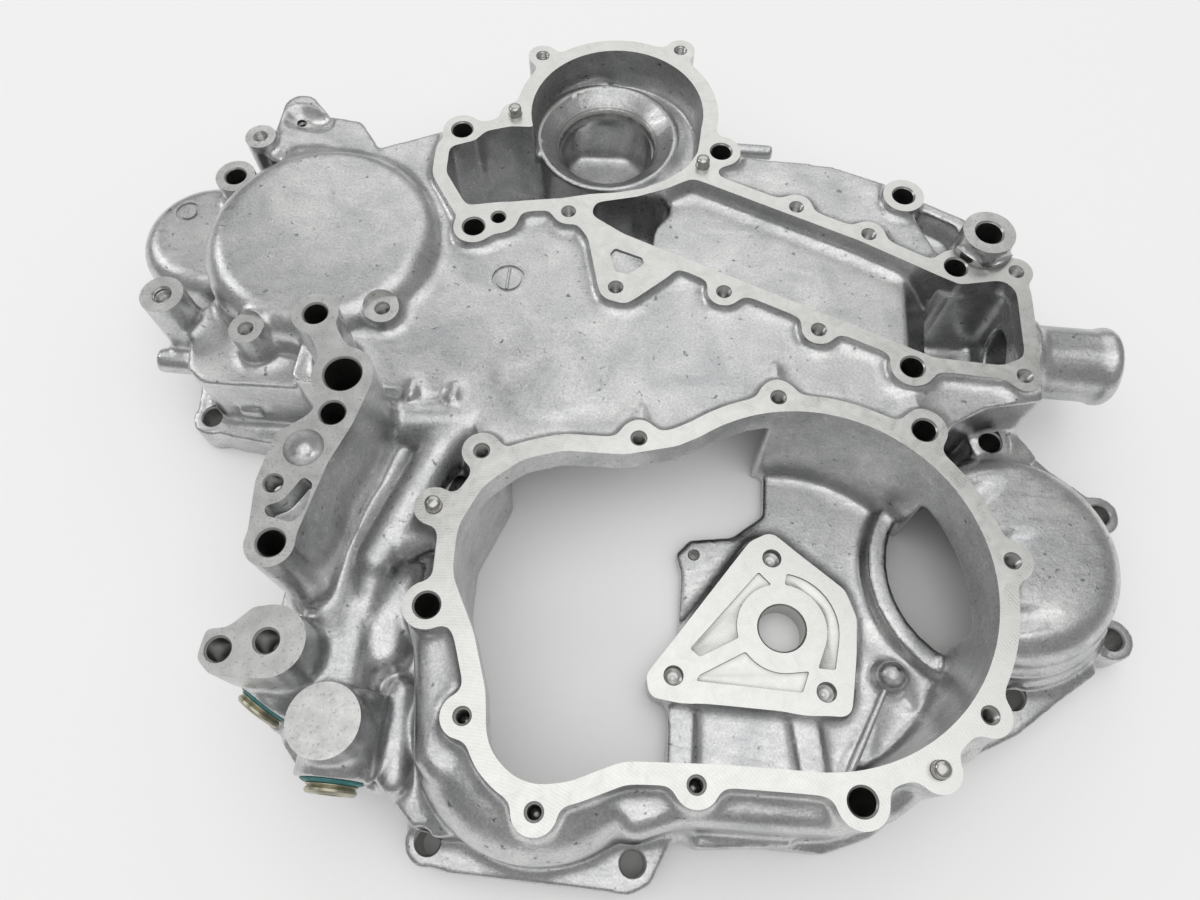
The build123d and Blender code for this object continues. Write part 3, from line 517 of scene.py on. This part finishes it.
def round_corners(piece):
    """Soften every corner a little, then fill the hollow ones."""
    mesh = piece.data
    points = np.empty(len(mesh.vertices) * 3)
    mesh.vertices.foreach_get("co", points)
    points = points.reshape(-1, 3)
    edges = np.empty(len(mesh.edges) * 2, dtype=np.int64)
    mesh.edges.foreach_get("vertices", edges)
    start, end = edges.reshape(-1, 2).T
    count = np.bincount(start, minlength=len(points)) + np.bincount(end, minlength=len(points))
    normals = np.empty_like(points)

    def pull():
        """How far each point lies from the middle of its neighbours."""
        middle = np.empty_like(points)
        for axis in range(3):
            values = points[:, axis]
            total = np.bincount(start, values[end], len(points))
            middle[:, axis] = (total + np.bincount(end, values[start], len(points))) / count
        return middle - points

    for step in range(SOFT_PASSES + FILLET_PASSES):
        moved = pull()
        if step < SOFT_PASSES:
            points += moved * SOFT_SHARE
            continue
        if (step - SOFT_PASSES) % NORMALS_EVERY == 0:
            mesh.vertices.foreach_set("co", points.ravel())
            mesh.update()
            mesh.vertex_normals.foreach_get("vector", normals.ravel())
        hollow = np.einsum("ij,ij->i", moved, normals) > HOLLOW
        points[hollow] += moved[hollow] * FILLET_SHARE
    mesh.vertices.foreach_set("co", points.ravel())
    mesh.update()


round_corners(casting)
print("corners rounded")

# %% [markdown]
# The voxel skin has the same small faces everywhere, flat or curved. The Decimate modifier
# merges those that lie nearly in one plane, and so keeps the piece under its limit.

# %% Thin the skin where it is flat
CASTING_TRIANGLES = 150_000
triangles = 2 * len(casting.data.polygons)
apply_modifier(casting, "DECIMATE", {"ratio": CASTING_TRIANGLES / triangles})
print("thinned skin", len(casting.data.polygons), "faces")


# %% [markdown]
# ## Milling and drilling
# Every cutter is a closed solid with its own finish, so a Boolean difference leaves that
# finish on the faces it cuts. The milling cutter for the gasket faces is a wide slab with
# wells in it, because the cup, the filter column and the pads stand higher and must stay.

# %% The milling cutters
def cut(piece, cutter):
    """Take a closed cutter out of the piece and delete the cutter."""
    settings = {"operation": "DIFFERENCE", "solver": "MANIFOLD", "object": cutter}
    apply_modifier(piece, "BOOLEAN", settings)
    bpy.data.objects.remove(cutter)


# Where the case stands higher than the gasket faces: round wells with their radius, and
# rectangular wells between two corners
CUP_CENTRE = (-208, 137)
KEPT_ROUND = [(CUP_CENTRE, 53), (CUP_THREADS[0], 11), (CUP_THREADS[1], 10), (CUP_THREADS[2], 10),
              (LARGE_CUP_THREAD, 12), (HOIST_PLACE, 13)]
KEPT_BLOCKS = [((-205, -30), (-150, 92)), ((-215, -80), (-142, -24))]
TALLEST = 110  # the milling cutters reach at least this high, above the whole case
WELL_MARGIN = 5


def milling_cutter(name, height, low, high, wells=(), blocks=(), finish=MILLED):
    """A slab above one height, with wells where the case stands higher."""
    slab = bmesh.new()
    block(slab, (*low, height), (*high, TALLEST))
    slab = new_piece(name, slab, FINISHES, finish)
    for place, radius in wells:
        well = bmesh.new()
        cylinder(well, place, TALLEST + WELL_MARGIN, height - WELL_MARGIN, 2 * radius, 64)
        cut(slab, new_piece("well", well, FINISHES))
    for near, far in blocks:
        well = bmesh.new()
        block(well, (*near, height - WELL_MARGIN), (*far, TALLEST + WELL_MARGIN))
        cut(slab, new_piece("well", well, FINISHES))
    return slab


def drum_cutter(name, height, place, radius):
    """A round cutter for the top of one boss or lug."""
    drum = bmesh.new()
    cylinder(drum, place, TALLEST, height, 2 * radius, 48)
    return new_piece(name, drum, FINISHES, POROUS)


DRUMS = [("hoist_mill", HOIST_LUG, HOIST_PLACE, 12.5), ("upper_lug_mill", UPPER_LUG, UPPER_LUG_PLACE, 9.8)]
DRUMS += [("boss_mill", CUP_BOSSES, place, 7.6) for place in CUP_THREADS]
DRUMS += [("boss_mill", CUP_BOSSES, LARGE_CUP_THREAD, 9.8)]

cut(casting, milling_cutter("gasket_mill", FRONT_FACE, (-320, -120), (170, 290), KEPT_ROUND, KEPT_BLOCKS))
cut(casting, milling_cutter("filter_mill", FILTER_FACE, (-206, -31), (-149, 93), finish=POROUS))
cut(casting, milling_cutter("pad_mill", LOWER_PADS, (-216, -81), (-141, -24.5), finish=POROUS))
cut(casting, milling_cutter("oil_pump_mill", OIL_PUMP_PAD, (-57, -39), (34.5, 45)))
for drum in DRUMS:
    cut(casting, drum_cutter(*drum))
print("milled", len(casting.data.polygons), "faces")

# %% [markdown]
# The mould made the kidney and the dish in the filter face, so they stay as cast. The
# pockets in the oil pump's pad are milled, with a dark step round them. Each is cut with a
# block on its outline, whose upright edges are bevelled so that its corners are round.

# %% Cut the pockets
def pocket_cutter(points, bottom, top, painted_milled_corner_shade, finish, floor_edge=0.4):
    """A closed block with round upright corners and a soft edge at its floor."""
    pocket = bmesh.new()
    outline_block(pocket, points, bottom, top)
    upright = [e for e in pocket.edges if abs(e.verts[0].co.z - e.verts[1].co.z) > 0.1 * MM
               and e.calc_face_angle(0) > math.radians(30)]
    bmesh.ops.bevel(pocket, geom=upright, offset=painted_milled_corner_shade * MM, segments=4, profile=0.5, affect="EDGES",
                    material=-1)
    low = [e for e in pocket.edges if all(v.co.z < (bottom + 0.01) * MM for v in e.verts)]
    bmesh.ops.bevel(pocket, geom=low, offset=floor_edge * MM, segments=2, profile=0.5, affect="EDGES",
                    material=-1)
    return new_piece("pocket", pocket, FINISHES, finish)


for points in PAD_POCKETS:
    cut(casting, pocket_cutter(points, bottom=10.8, top=14, painted_milled_corner_shade=1.0, finish=MILLED, floor_edge=0.15))
cut(casting, pocket_cutter(GUSSET_POCKET, bottom=64.4, top=68, painted_milled_corner_shade=1.0, finish=AS_CAST, floor_edge=0.3))
cut(casting, pocket_cutter(KIDNEY, bottom=87, top=98, painted_milled_corner_shade=1.6, finish=AS_CAST))
dish = bmesh.new()
ball_centre = (*[c * MM for c in DISH_PLACE], (FILTER_FACE + DISH_RISE) * MM)
bmesh.ops.create_uvsphere(dish, u_segments=40, v_segments=24, radius=DISH_RADIUS * MM,
                          matrix=Matrix.Translation(ball_centre))
cut(casting, new_piece("dish", dish, FINISHES, AS_CAST))
print("pockets cut", len(casting.data.polygons), "faces")

# %% [markdown]
# A drill leaves a round hole with a cone at its end and a chamfer at its mouth. A tap then
# cuts the thread. Both tools are round, so each is a profile spun about an upright axis,
# and a full spin merges its last step into the first. All of them go into one cutter.

# %% Shapes that are spun
def turned(bm, profile, place, steps=24):
    """Spin a profile of (radius, height) pairs in millimetres about an upright axis."""
    line = [bm.verts.new(((place[0] + r) * MM, place[1] * MM, z * MM)) for r, z in profile]
    edges = [bm.edges.new(pair) for pair in zip(line, line[1:])]
    return bmesh.ops.spin(bm, geom=line + edges, cent=(place[0] * MM, place[1] * MM, 0),
                          axis=(0, 0, 1), angle=math.tau, steps=steps, use_merge=True)


def close_turned(bm):
    """Merge doubled points, face the shapes outwards and count the edges left open."""
    bmesh.ops.remove_doubles(bm, verts=bm.verts, dist=0.001 * MM)
    bmesh.ops.recalc_face_normals(bm, faces=bm.faces)
    return sum(not e.is_manifold for e in bm.edges)


# %% The drills and taps
DRILL_POINT = 0.58  # height of a drill's point as a share of its radius
CHAMFER = 0.7
FINE_CHAMFER = 0.25  # on the pad's screw holes and on the dowel holes
OVERRUN = 2  # how far a tool reaches past the mouth of its hole
THREAD_DEPTH = 0.6  # depth of a groove as a share of the pitch
THREAD_RUNOUT = 1.6  # no groove starts nearer the mouth than this many pitches


def drill_profile(radius, top, bottom, chamfer):
    """A drill from its point to above the mouth, without a point where it runs through."""
    tip = radius * DRILL_POINT if bottom > 0 else 0
    return [(0, bottom - tip), (radius, bottom), (radius, top - chamfer),
            (radius + chamfer, top), (radius + chamfer, top + OVERRUN), (0, top + OVERRUN)]


def tap_profile(diameter, pitch, top, bottom):
    """A thread as a stack of grooves: the real helix has the same look from above."""
    crest = diameter / 2
    root = crest - THREAD_DEPTH * pitch
    profile = [(0, bottom - root * DRILL_POINT), (root, bottom)]
    level = bottom
    while level < top - THREAD_RUNOUT * pitch:
        profile += [(crest, level + pitch * 0.5), (root, level + pitch)]
        level += pitch
    mouth = crest + 0.3
    return profile + [(root, top - 0.9), (mouth, top), (mouth, top + OVERRUN), (0, top + OVERRUN)]


cutters = bmesh.new()
for place, top, bottom, diameter in PLAIN + DOWEL_HOLES:
    chamfer = FINE_CHAMFER if diameter in (PAD_SCREW_DIAMETER, DOWEL_DIAMETER) else CHAMFER
    turned(cutters, drill_profile(diameter / 2, top, bottom, chamfer), place, steps=40)
for place, top, bottom, diameter, pitch in THREADED:
    turned(cutters, tap_profile(diameter, pitch, top, bottom), place)
print("open edges in the drills", close_turned(cutters))
cut(casting, new_piece("drills", cutters, FINISHES, DRILLED))
print("drilled", len(casting.data.polygons), "faces")

# %% [markdown]
# The pump's eye is bored: a cone leads into a round throat, and a narrow, nearly flat ring
# is turned round it. One spun cutter makes cone and ring together, so they stay true.

# %% Bore the eye of the pump
EYE_PLACE = (-93, 225)
EYE_PROFILE = [(0, 36), (23.1, 36), (23.1, 40), (31.8, 47.4), (33.4, 47.7), (33.4, 51), (0, 51)]
eye_tool = bmesh.new()
turned(eye_tool, EYE_PROFILE, EYE_PLACE, steps=72)
print("open edges in the boring tool", close_turned(eye_tool))
cut(casting, new_piece("eye_tool", eye_tool, FINISHES, DRILLED))

# %% [markdown]
# The mould leaves two small ring marks, one on the plate and one beside the cup. Each is a
# shallow groove between two circles, cut with a spun profile that closes on itself.

# %% Ring marks: place, outer radius, inner radius and height of the floor
PLATE_MARK_PLACE = (-126, 126)
RING_MARKS = [(PLATE_MARK_PLACE, 7.0, 5.4, 61.1), ((-283, 161), 5.5, 3.9, 45.1)]
marks = bmesh.new()
for place, outer, inner, floor_level in RING_MARKS:
    groove = [(inner, floor_level), (outer, floor_level), (outer, FRONT_FACE), (inner, FRONT_FACE)]
    turned(marks, groove + groove[:1], place, steps=40)
print("open edges in the ring marks", close_turned(marks))
cut(casting, new_piece("ring_marks", marks, FINISHES, AS_CAST))

# %% [markdown]
# Four details are too fine for the remesh: a raised disc on the plate, a thin blade rib
# on the web, a bar across the plate's ring mark, and the scoops in the dome's shoulder.
# The first three are joined to the skin with a Boolean union, and the scoops are cut with
# long balls, which leave a smooth hollow.

# %% Helpers to join a solid and to lay a shape between two points
def join(piece, solid):
    """Unite a closed solid with the piece and delete the solid."""
    settings = {"operation": "UNION", "solver": "MANIFOLD", "object": solid}
    apply_modifier(piece, "BOOLEAN", settings)
    bpy.data.objects.remove(solid)


def between(start, end):
    """The frame half-way between two points in millimetres, Z along them, and their distance."""
    middle, reach = (Vector(start) + Vector(end)) / 2 * MM, (Vector(end) - Vector(start)) * MM
    turn = reach.to_track_quat("Z", "Y").to_matrix().to_4x4()
    return Matrix.Translation(middle) @ turn, reach.length


# %% Disc, blade rib and bar
DISC_PLACE = (-102, 86)
DISC_PROFILE = [(0, 60), (24.3, 60), (24.3, 61.7), (23.6, 62.1), (22.6, 62.5), (21.6, 62.65), (0, 62.65)]
# The rib and the bar: start, end and the radius at either end
RIBS = [((43, -17, 9.5), (26.5, -54, 8.5), 1.3, 1.7), ((-126, 131.2, 61.6), (-126, 120.8, 61.6), 0.8, 0.8)]

disc = bmesh.new()
turned(disc, DISC_PROFILE, DISC_PLACE, steps=96)
print("open edges in the disc", close_turned(disc))
join(casting, new_piece("disc", disc, FINISHES))
for start, end, radius, end_radius in RIBS:
    rib = bmesh.new()
    frame_between, length = between(start, end)
    bmesh.ops.create_cone(rib, cap_ends=True, segments=20, radius1=radius * MM, radius2=end_radius * MM,
                          depth=length, matrix=frame_between)
    join(casting, new_piece("rib", rib, FINISHES))
print("disc and ribs joined", len(casting.data.polygons), "faces")

# %% Scoops: start and end of each in millimetres
SCOOPS = [((67, 51, 46), (86, 64, 51.5)), ((76, 31, 46), (96, 40.5, 51.5)), ((78, 3, 46), (103, 8, 51.5))]
SCOOP_RADIUS = 5.6 * MM
SCOOP_STRETCH = 0.62  # half the ball's length as a share of the distance between the ends

for start, end in SCOOPS:
    scoop = bmesh.new()
    frame_between, length = between(start, end)
    stretch = Matrix.Diagonal((SCOOP_RADIUS, SCOOP_RADIUS, length * SCOOP_STRETCH, 1))
    bmesh.ops.create_uvsphere(scoop, u_segments=32, v_segments=24, radius=1.0,
                              matrix=frame_between @ stretch)
    cut(casting, new_piece("scoop", scoop, FINISHES))
print("fine details", len(casting.data.polygons), "faces")

# %% [markdown]
# Two drilled galleries end in bosses that screw plugs close. Each boss is spot-faced: a
# flat cutter, led in along the plug's axis, leaves a bright ring round the plug's hole.

# %% The seats of the plugs: a point on the seat, and the axis's angle from X in degrees
PLUG_STAND = 4.5  # how far the plug's face stands out over its seat
PLUGS = {"side_screw_plug": ((-191.5, -53, 40), 240), "lower_screw_plug": ((-159.5, -77, 46), -90)}
SPOT_DIAMETER = 26.6


def outward_frame(place, turn):
    """A frame whose Z axis looks out of the boss, along a level direction."""
    heading = Vector((math.cos(math.radians(turn)), math.sin(math.radians(turn)), 0))
    return Matrix.Translation(Vector(place) * MM) @ heading.to_track_quat("Z", "Y").to_matrix().to_4x4()


for place, turn in PLUGS.values():
    spot = bmesh.new()
    cylinder(spot, (0, 0), top=11, bottom=-0.3, diameter=SPOT_DIAMETER, segments=48)
    bmesh.ops.transform(spot, matrix=outward_frame(place, turn), verts=spot.verts)
    cut(casting, new_piece("spot_face", spot, FINISHES, MILLED))
print("spot-faced", len(casting.data.polygons), "faces")

# %% [markdown]
# Smooth shading hides the small faces of the skin, and edges that turn by more than an
# angle are marked sharp, so that the milled faces keep a crisp border.

# %% Finish the casting
print("faces of each finish", np.bincount([p.material_index for p in casting.data.polygons]))
casting.data.shade_smooth()
casting.data.set_sharp_from_angle(angle=math.radians(38))
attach(casting, "root")
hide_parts("gear_case")

# %% [markdown]
# ## Dowels
# The locating dowels are hardened pins, ground between wheels and tumbled, so they are
# smoother and darker than the milled face, with a domed end. Grinding leaves fine rings
# round the pin. Each is spun from its profile.

# %% Ground steel dowels
ground_steel, tree, place = new_material("ground_steel")
rings = add_node(tree, "ShaderNodeTexWave", {"wave_type": "BANDS", "bands_direction": "Z"}, Vector=place,
                 Scale=wave_scale(0.5), Distortion=1.0, Detail=2).outputs[1]
haze = add_node(tree, "ShaderNodeTexNoise", Vector=place, Scale=per_metre(1.5), Detail=3).outputs[0]
gloss = add_node(tree, "ShaderNodeMapRange", _0=haze, _1=0.3, _2=0.7, _3=0.16, _4=0.3).outputs[0]
pin_colour = add_node(tree, "ShaderNodeMix", RGB_MIX, _0=haze, _6=srgb("#B5B4B0"),
                      _7=srgb("#D4D3CF")).outputs[2]
bump = add_node(tree, "ShaderNodeBump", Strength=0.15, Distance=0.03 * MM, Height=rings).outputs[0]
shader = add_node(tree, "ShaderNodeBsdfPrincipled", Metallic=1.0, Roughness=gloss, Base_Color=pin_colour,
                  Normal=bump)
add_node(tree, "ShaderNodeOutputMaterial", Surface=shader.outputs[0])

# %% Spin the dowels
DOWEL_PROFILE = [(0, 56.5), (1.8, 56.5), (3, 57.7), (3, 69.1), (2.8, 69.75), (2.2, 70.2), (1.2, 70.45),
                 (0, 70.5)]
for name, place in DOWELS.items():
    pin = bmesh.new()
    turned(pin, DOWEL_PROFILE, place, steps=40)
    gaps = close_turned(pin)
    pin = new_piece(name + "_pin", pin, [ground_steel])
    pin.data.shade_smooth()
    pin.data.set_sharp_from_angle(angle=math.radians(40))
    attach(pin, "root")
    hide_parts(name)
    print(name, "open edges", gaps)

# %% [markdown]
# ## Screw plugs
# Each plug closes the drilled end of an oil gallery. It is a short zinc-plated screw with
# a hexagon socket, set with a blue-green thread sealant that squeezes out in a bead. The
# body is spun upright, the socket is cut out of it, and then it is turned into its boss.

# %% Zinc plating and sealant
zinc, tree, place = new_material("zinc_plated_steel")
crystals = add_node(tree, "ShaderNodeTexNoise", Vector=place, Scale=per_metre(2.2), Detail=4,
                    Roughness=0.65).outputs[0]
plating = add_node(tree, "ShaderNodeMix", RGB_MIX, _0=crystals, _6=srgb("#A19C84"),
                   _7=srgb("#D2CFBF")).outputs[2]
gloss = add_node(tree, "ShaderNodeMapRange", _0=crystals, _1=0.3, _2=0.7, _3=0.26, _4=0.42).outputs[0]
bump = add_node(tree, "ShaderNodeBump", Strength=0.2, Distance=0.05 * MM, Height=crystals).outputs[0]
shader = add_node(tree, "ShaderNodeBsdfPrincipled", Metallic=1.0, Roughness=gloss, Base_Color=plating,
                  Normal=bump)
add_node(tree, "ShaderNodeOutputMaterial", Surface=shader.outputs[0])

sealant, tree, place = new_material("cured_thread_sealant")
lumps = add_node(tree, "ShaderNodeTexNoise", Vector=place, Scale=per_metre(1.4), Detail=3).outputs[0]
film = add_node(tree, "ShaderNodeMix", RGB_MIX, _0=lumps, _6=srgb("#2F6F74"), _7=srgb("#5FA6A3")).outputs[2]
bump = add_node(tree, "ShaderNodeBump", Strength=0.5, Distance=0.2 * MM, Height=lumps).outputs[0]
shader = add_node(tree, "ShaderNodeBsdfPrincipled", Roughness=0.45, Base_Color=film, Normal=bump)
add_node(tree, "ShaderNodeOutputMaterial", Surface=shader.outputs[0])
print("plug finishes made")


# %% Build the plugs
PLUG_PITCH = 1.5
PLUG_TURNS = 6
HEX_ACROSS_FLATS = 8
BEAD_PROFILE = [(8.3, -5.6), (10.4, -4.75), (10.7, -4.4), (10.1, -3.9), (9.2, -3.4), (8.3, -3.3), (8.3, -5.6)]
BEAD_INNER = 8.5 * MM  # points nearer the axis than this keep their place


def plug_profile():
    """From the inner end to the rim, with the thread between them."""
    profile = [(0, -12), (7.6, -12), (8.3, -11.3)]
    for turn in range(PLUG_TURNS):
        level = -11.0 + PLUG_PITCH * turn
        profile += [(8.95, level + 0.4), (8.95, level + 0.6), (8.2, level + 1.2)]
    return profile + [(8.9, -1.6), (8.95, -0.8), (8.2, 0), (0, 0)]


def uneven(bead):
    """Squeeze the bead in and out with two waves round the plug, as a real one is uneven."""
    for vert in bead.verts:
        angle = math.atan2(vert.co.y, vert.co.x)
        reach = 1 + 0.035 * math.sin(5 * angle) + 0.025 * math.sin(11 * angle + 1)
        if vert.co.xy.length > BEAD_INNER:
            vert.co.xy *= reach


for name, (place, turn) in PLUGS.items():
    seat = outward_frame(place, turn) @ Matrix.Translation((0, 0, PLUG_STAND * MM))
    plug = bmesh.new()
    turned(plug, plug_profile(), (0, 0), steps=48)
    gaps = close_turned(plug)
    plug = new_piece(name + "_body", plug, [zinc])
    socket = bmesh.new()
    cylinder(socket, (0, 0), 1, -5, HEX_ACROSS_FLATS / math.cos(math.pi / 6), segments=6)
    cut(plug, new_piece("socket", socket, [zinc]))
    plug.data.transform(seat)
    plug.data.shade_smooth()
    plug.data.set_sharp_from_angle(angle=math.radians(30))
    bead = bmesh.new()
    turned(bead, BEAD_PROFILE, (0, 0), steps=60)
    gaps += close_turned(bead)
    uneven(bead)
    bmesh.ops.transform(bead, matrix=seat, verts=bead.verts)
    bead = new_piece(name + "_sealant", bead, [sealant])
    bead.data.shade_smooth()
    for piece in (plug, bead):
        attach(piece, "root")
    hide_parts(name)
    print(name, "open edges", gaps, "faces", len(plug.data.polygons))

# %% [markdown]
# ## The studio
# The case lies on white paper. The camera is close above it, so the near milled faces
# mirror what is straight overhead and the far ones mirror what is behind the case. One
# soft light hangs overhead, a dimmer one stands at the back, and a small bright one at the
# left draws the edges. The room between them is darker, and the walls of the casting show
# it: that contrast makes metal look like metal.
# The paper is made white where the camera or the metal sees it. That glow fades close to the
# case and under it, which paints a shadow round the case over its real one and keeps the deep holes dark.

# %% The floor
FLOOR_CENTRE = (-0.07, 0.08, 0)  # in metres, under the middle of the case
FLOOR_REACH = 3  # from the centre to an edge
SHADOW_REACH = 90 * MM  # the glow fades where the case is nearer than this

floor = bmesh.new()
bmesh.ops.create_grid(floor, x_segments=1, y_segments=1, size=FLOOR_REACH,
                      matrix=Matrix.Translation(FLOOR_CENTRE))
paper, tree, place = new_material("white_paper")
fibres = add_node(tree, "ShaderNodeTexNoise", Vector=place, Scale=per_metre(4), Detail=3).outputs[0]
sheet = add_node(tree, "ShaderNodeMix", RGB_MIX, _0=fibres, _6=srgb("#F4F4F3"),
                 _7=srgb("#F8F8F7")).outputs[2]
lit = add_node(tree, "ShaderNodeBsdfPrincipled", Roughness=0.8, Base_Color=sheet).outputs[0]
white = add_node(tree, "ShaderNodeEmission", Color=srgb("#FCFCFC"), Strength=1.0).outputs[0]
ray = add_node(tree, "ShaderNodeLightPath").outputs
seen = add_node(tree, "ShaderNodeMath", {"operation": "ADD"}, _0=ray["Is Camera Ray"],
                _1=ray["Is Glossy Ray"]).outputs[0]
seen = add_node(tree, "ShaderNodeMath", {"operation": "ADD", "use_clamp": True}, _0=seen,
                _1=ray["Is Transmission Ray"]).outputs[0]
# Painted shadow: near the case and in its holes the glow fades, so the paper is darker there.
clear = add_node(tree, "ShaderNodeAmbientOcclusion", {"samples": 8}, Distance=SHADOW_REACH).outputs["AO"]
clear = add_node(tree, "ShaderNodeMapRange", _0=clear, _1=0.15, _2=0.95, _3=0.0, _4=0.7).outputs[0]
share = add_node(tree, "ShaderNodeMath", {"operation": "MULTIPLY"}, _0=seen, _1=clear).outputs[0]
surface = add_node(tree, "ShaderNodeMixShader", _0=share, _1=lit, _2=white).outputs[0]
add_node(tree, "ShaderNodeOutputMaterial", Surface=surface)
new_piece("floor", floor, [paper])
print("paper:", len(tree.nodes), "nodes")

# %% The room
ROOM_LEVEL = 0.32  # what the metal mirrors between the lamps
SEEN_LEVEL = 0.95  # what the camera sees past the paper
world = bpy.data.worlds.new("studio")
bpy.context.scene.world = world
world.use_nodes = True
tree = world.node_tree
seen = add_node(tree, "ShaderNodeLightPath").outputs["Is Camera Ray"]
level = add_node(tree, "ShaderNodeMapRange", _0=seen, _3=ROOM_LEVEL, _4=SEEN_LEVEL).outputs[0]
tree.links.new(level, tree.nodes["Background"].inputs[1])
tree.nodes["Background"].inputs[0].default_value = srgb("#FFFFFF")
print("room level", ROOM_LEVEL)


# %% The lamps: place, aim, width and height in metres, and how bright the face looks
LAMPS = {
    "overhead": ((-0.02, -0.02, 1.3), (-0.07, 0.02, 0), (1.5, 1.2), 1.0),
    "back": ((-0.15, 1.6, 1.3), (-0.07, 0.08, 0), (2.2, 1.2), 0.72),
    "left": ((-1.2, 0.45, 0.85), (-0.1, 0.05, 0), (0.5, 0.6), 1.9),
}


def lamp(name, place, aim, size, radiance):
    """A rectangular soft light; its power follows from how bright its face should look."""
    data = bpy.data.lights.new(name, "AREA")
    data.shape = "RECTANGLE"
    data.size, data.size_y = size
    data.energy = radiance * math.pi * size[0] * size[1]
    light = bpy.data.objects.new(name, data)
    light.location = place
    light.rotation_euler = (Vector(aim) - Vector(place)).to_track_quat("-Z", "Y").to_euler()
    bpy.context.scene.collection.objects.link(light)
    print(name, round(data.energy, 1), "W")


for name, settings in LAMPS.items():
    lamp(name, *settings)
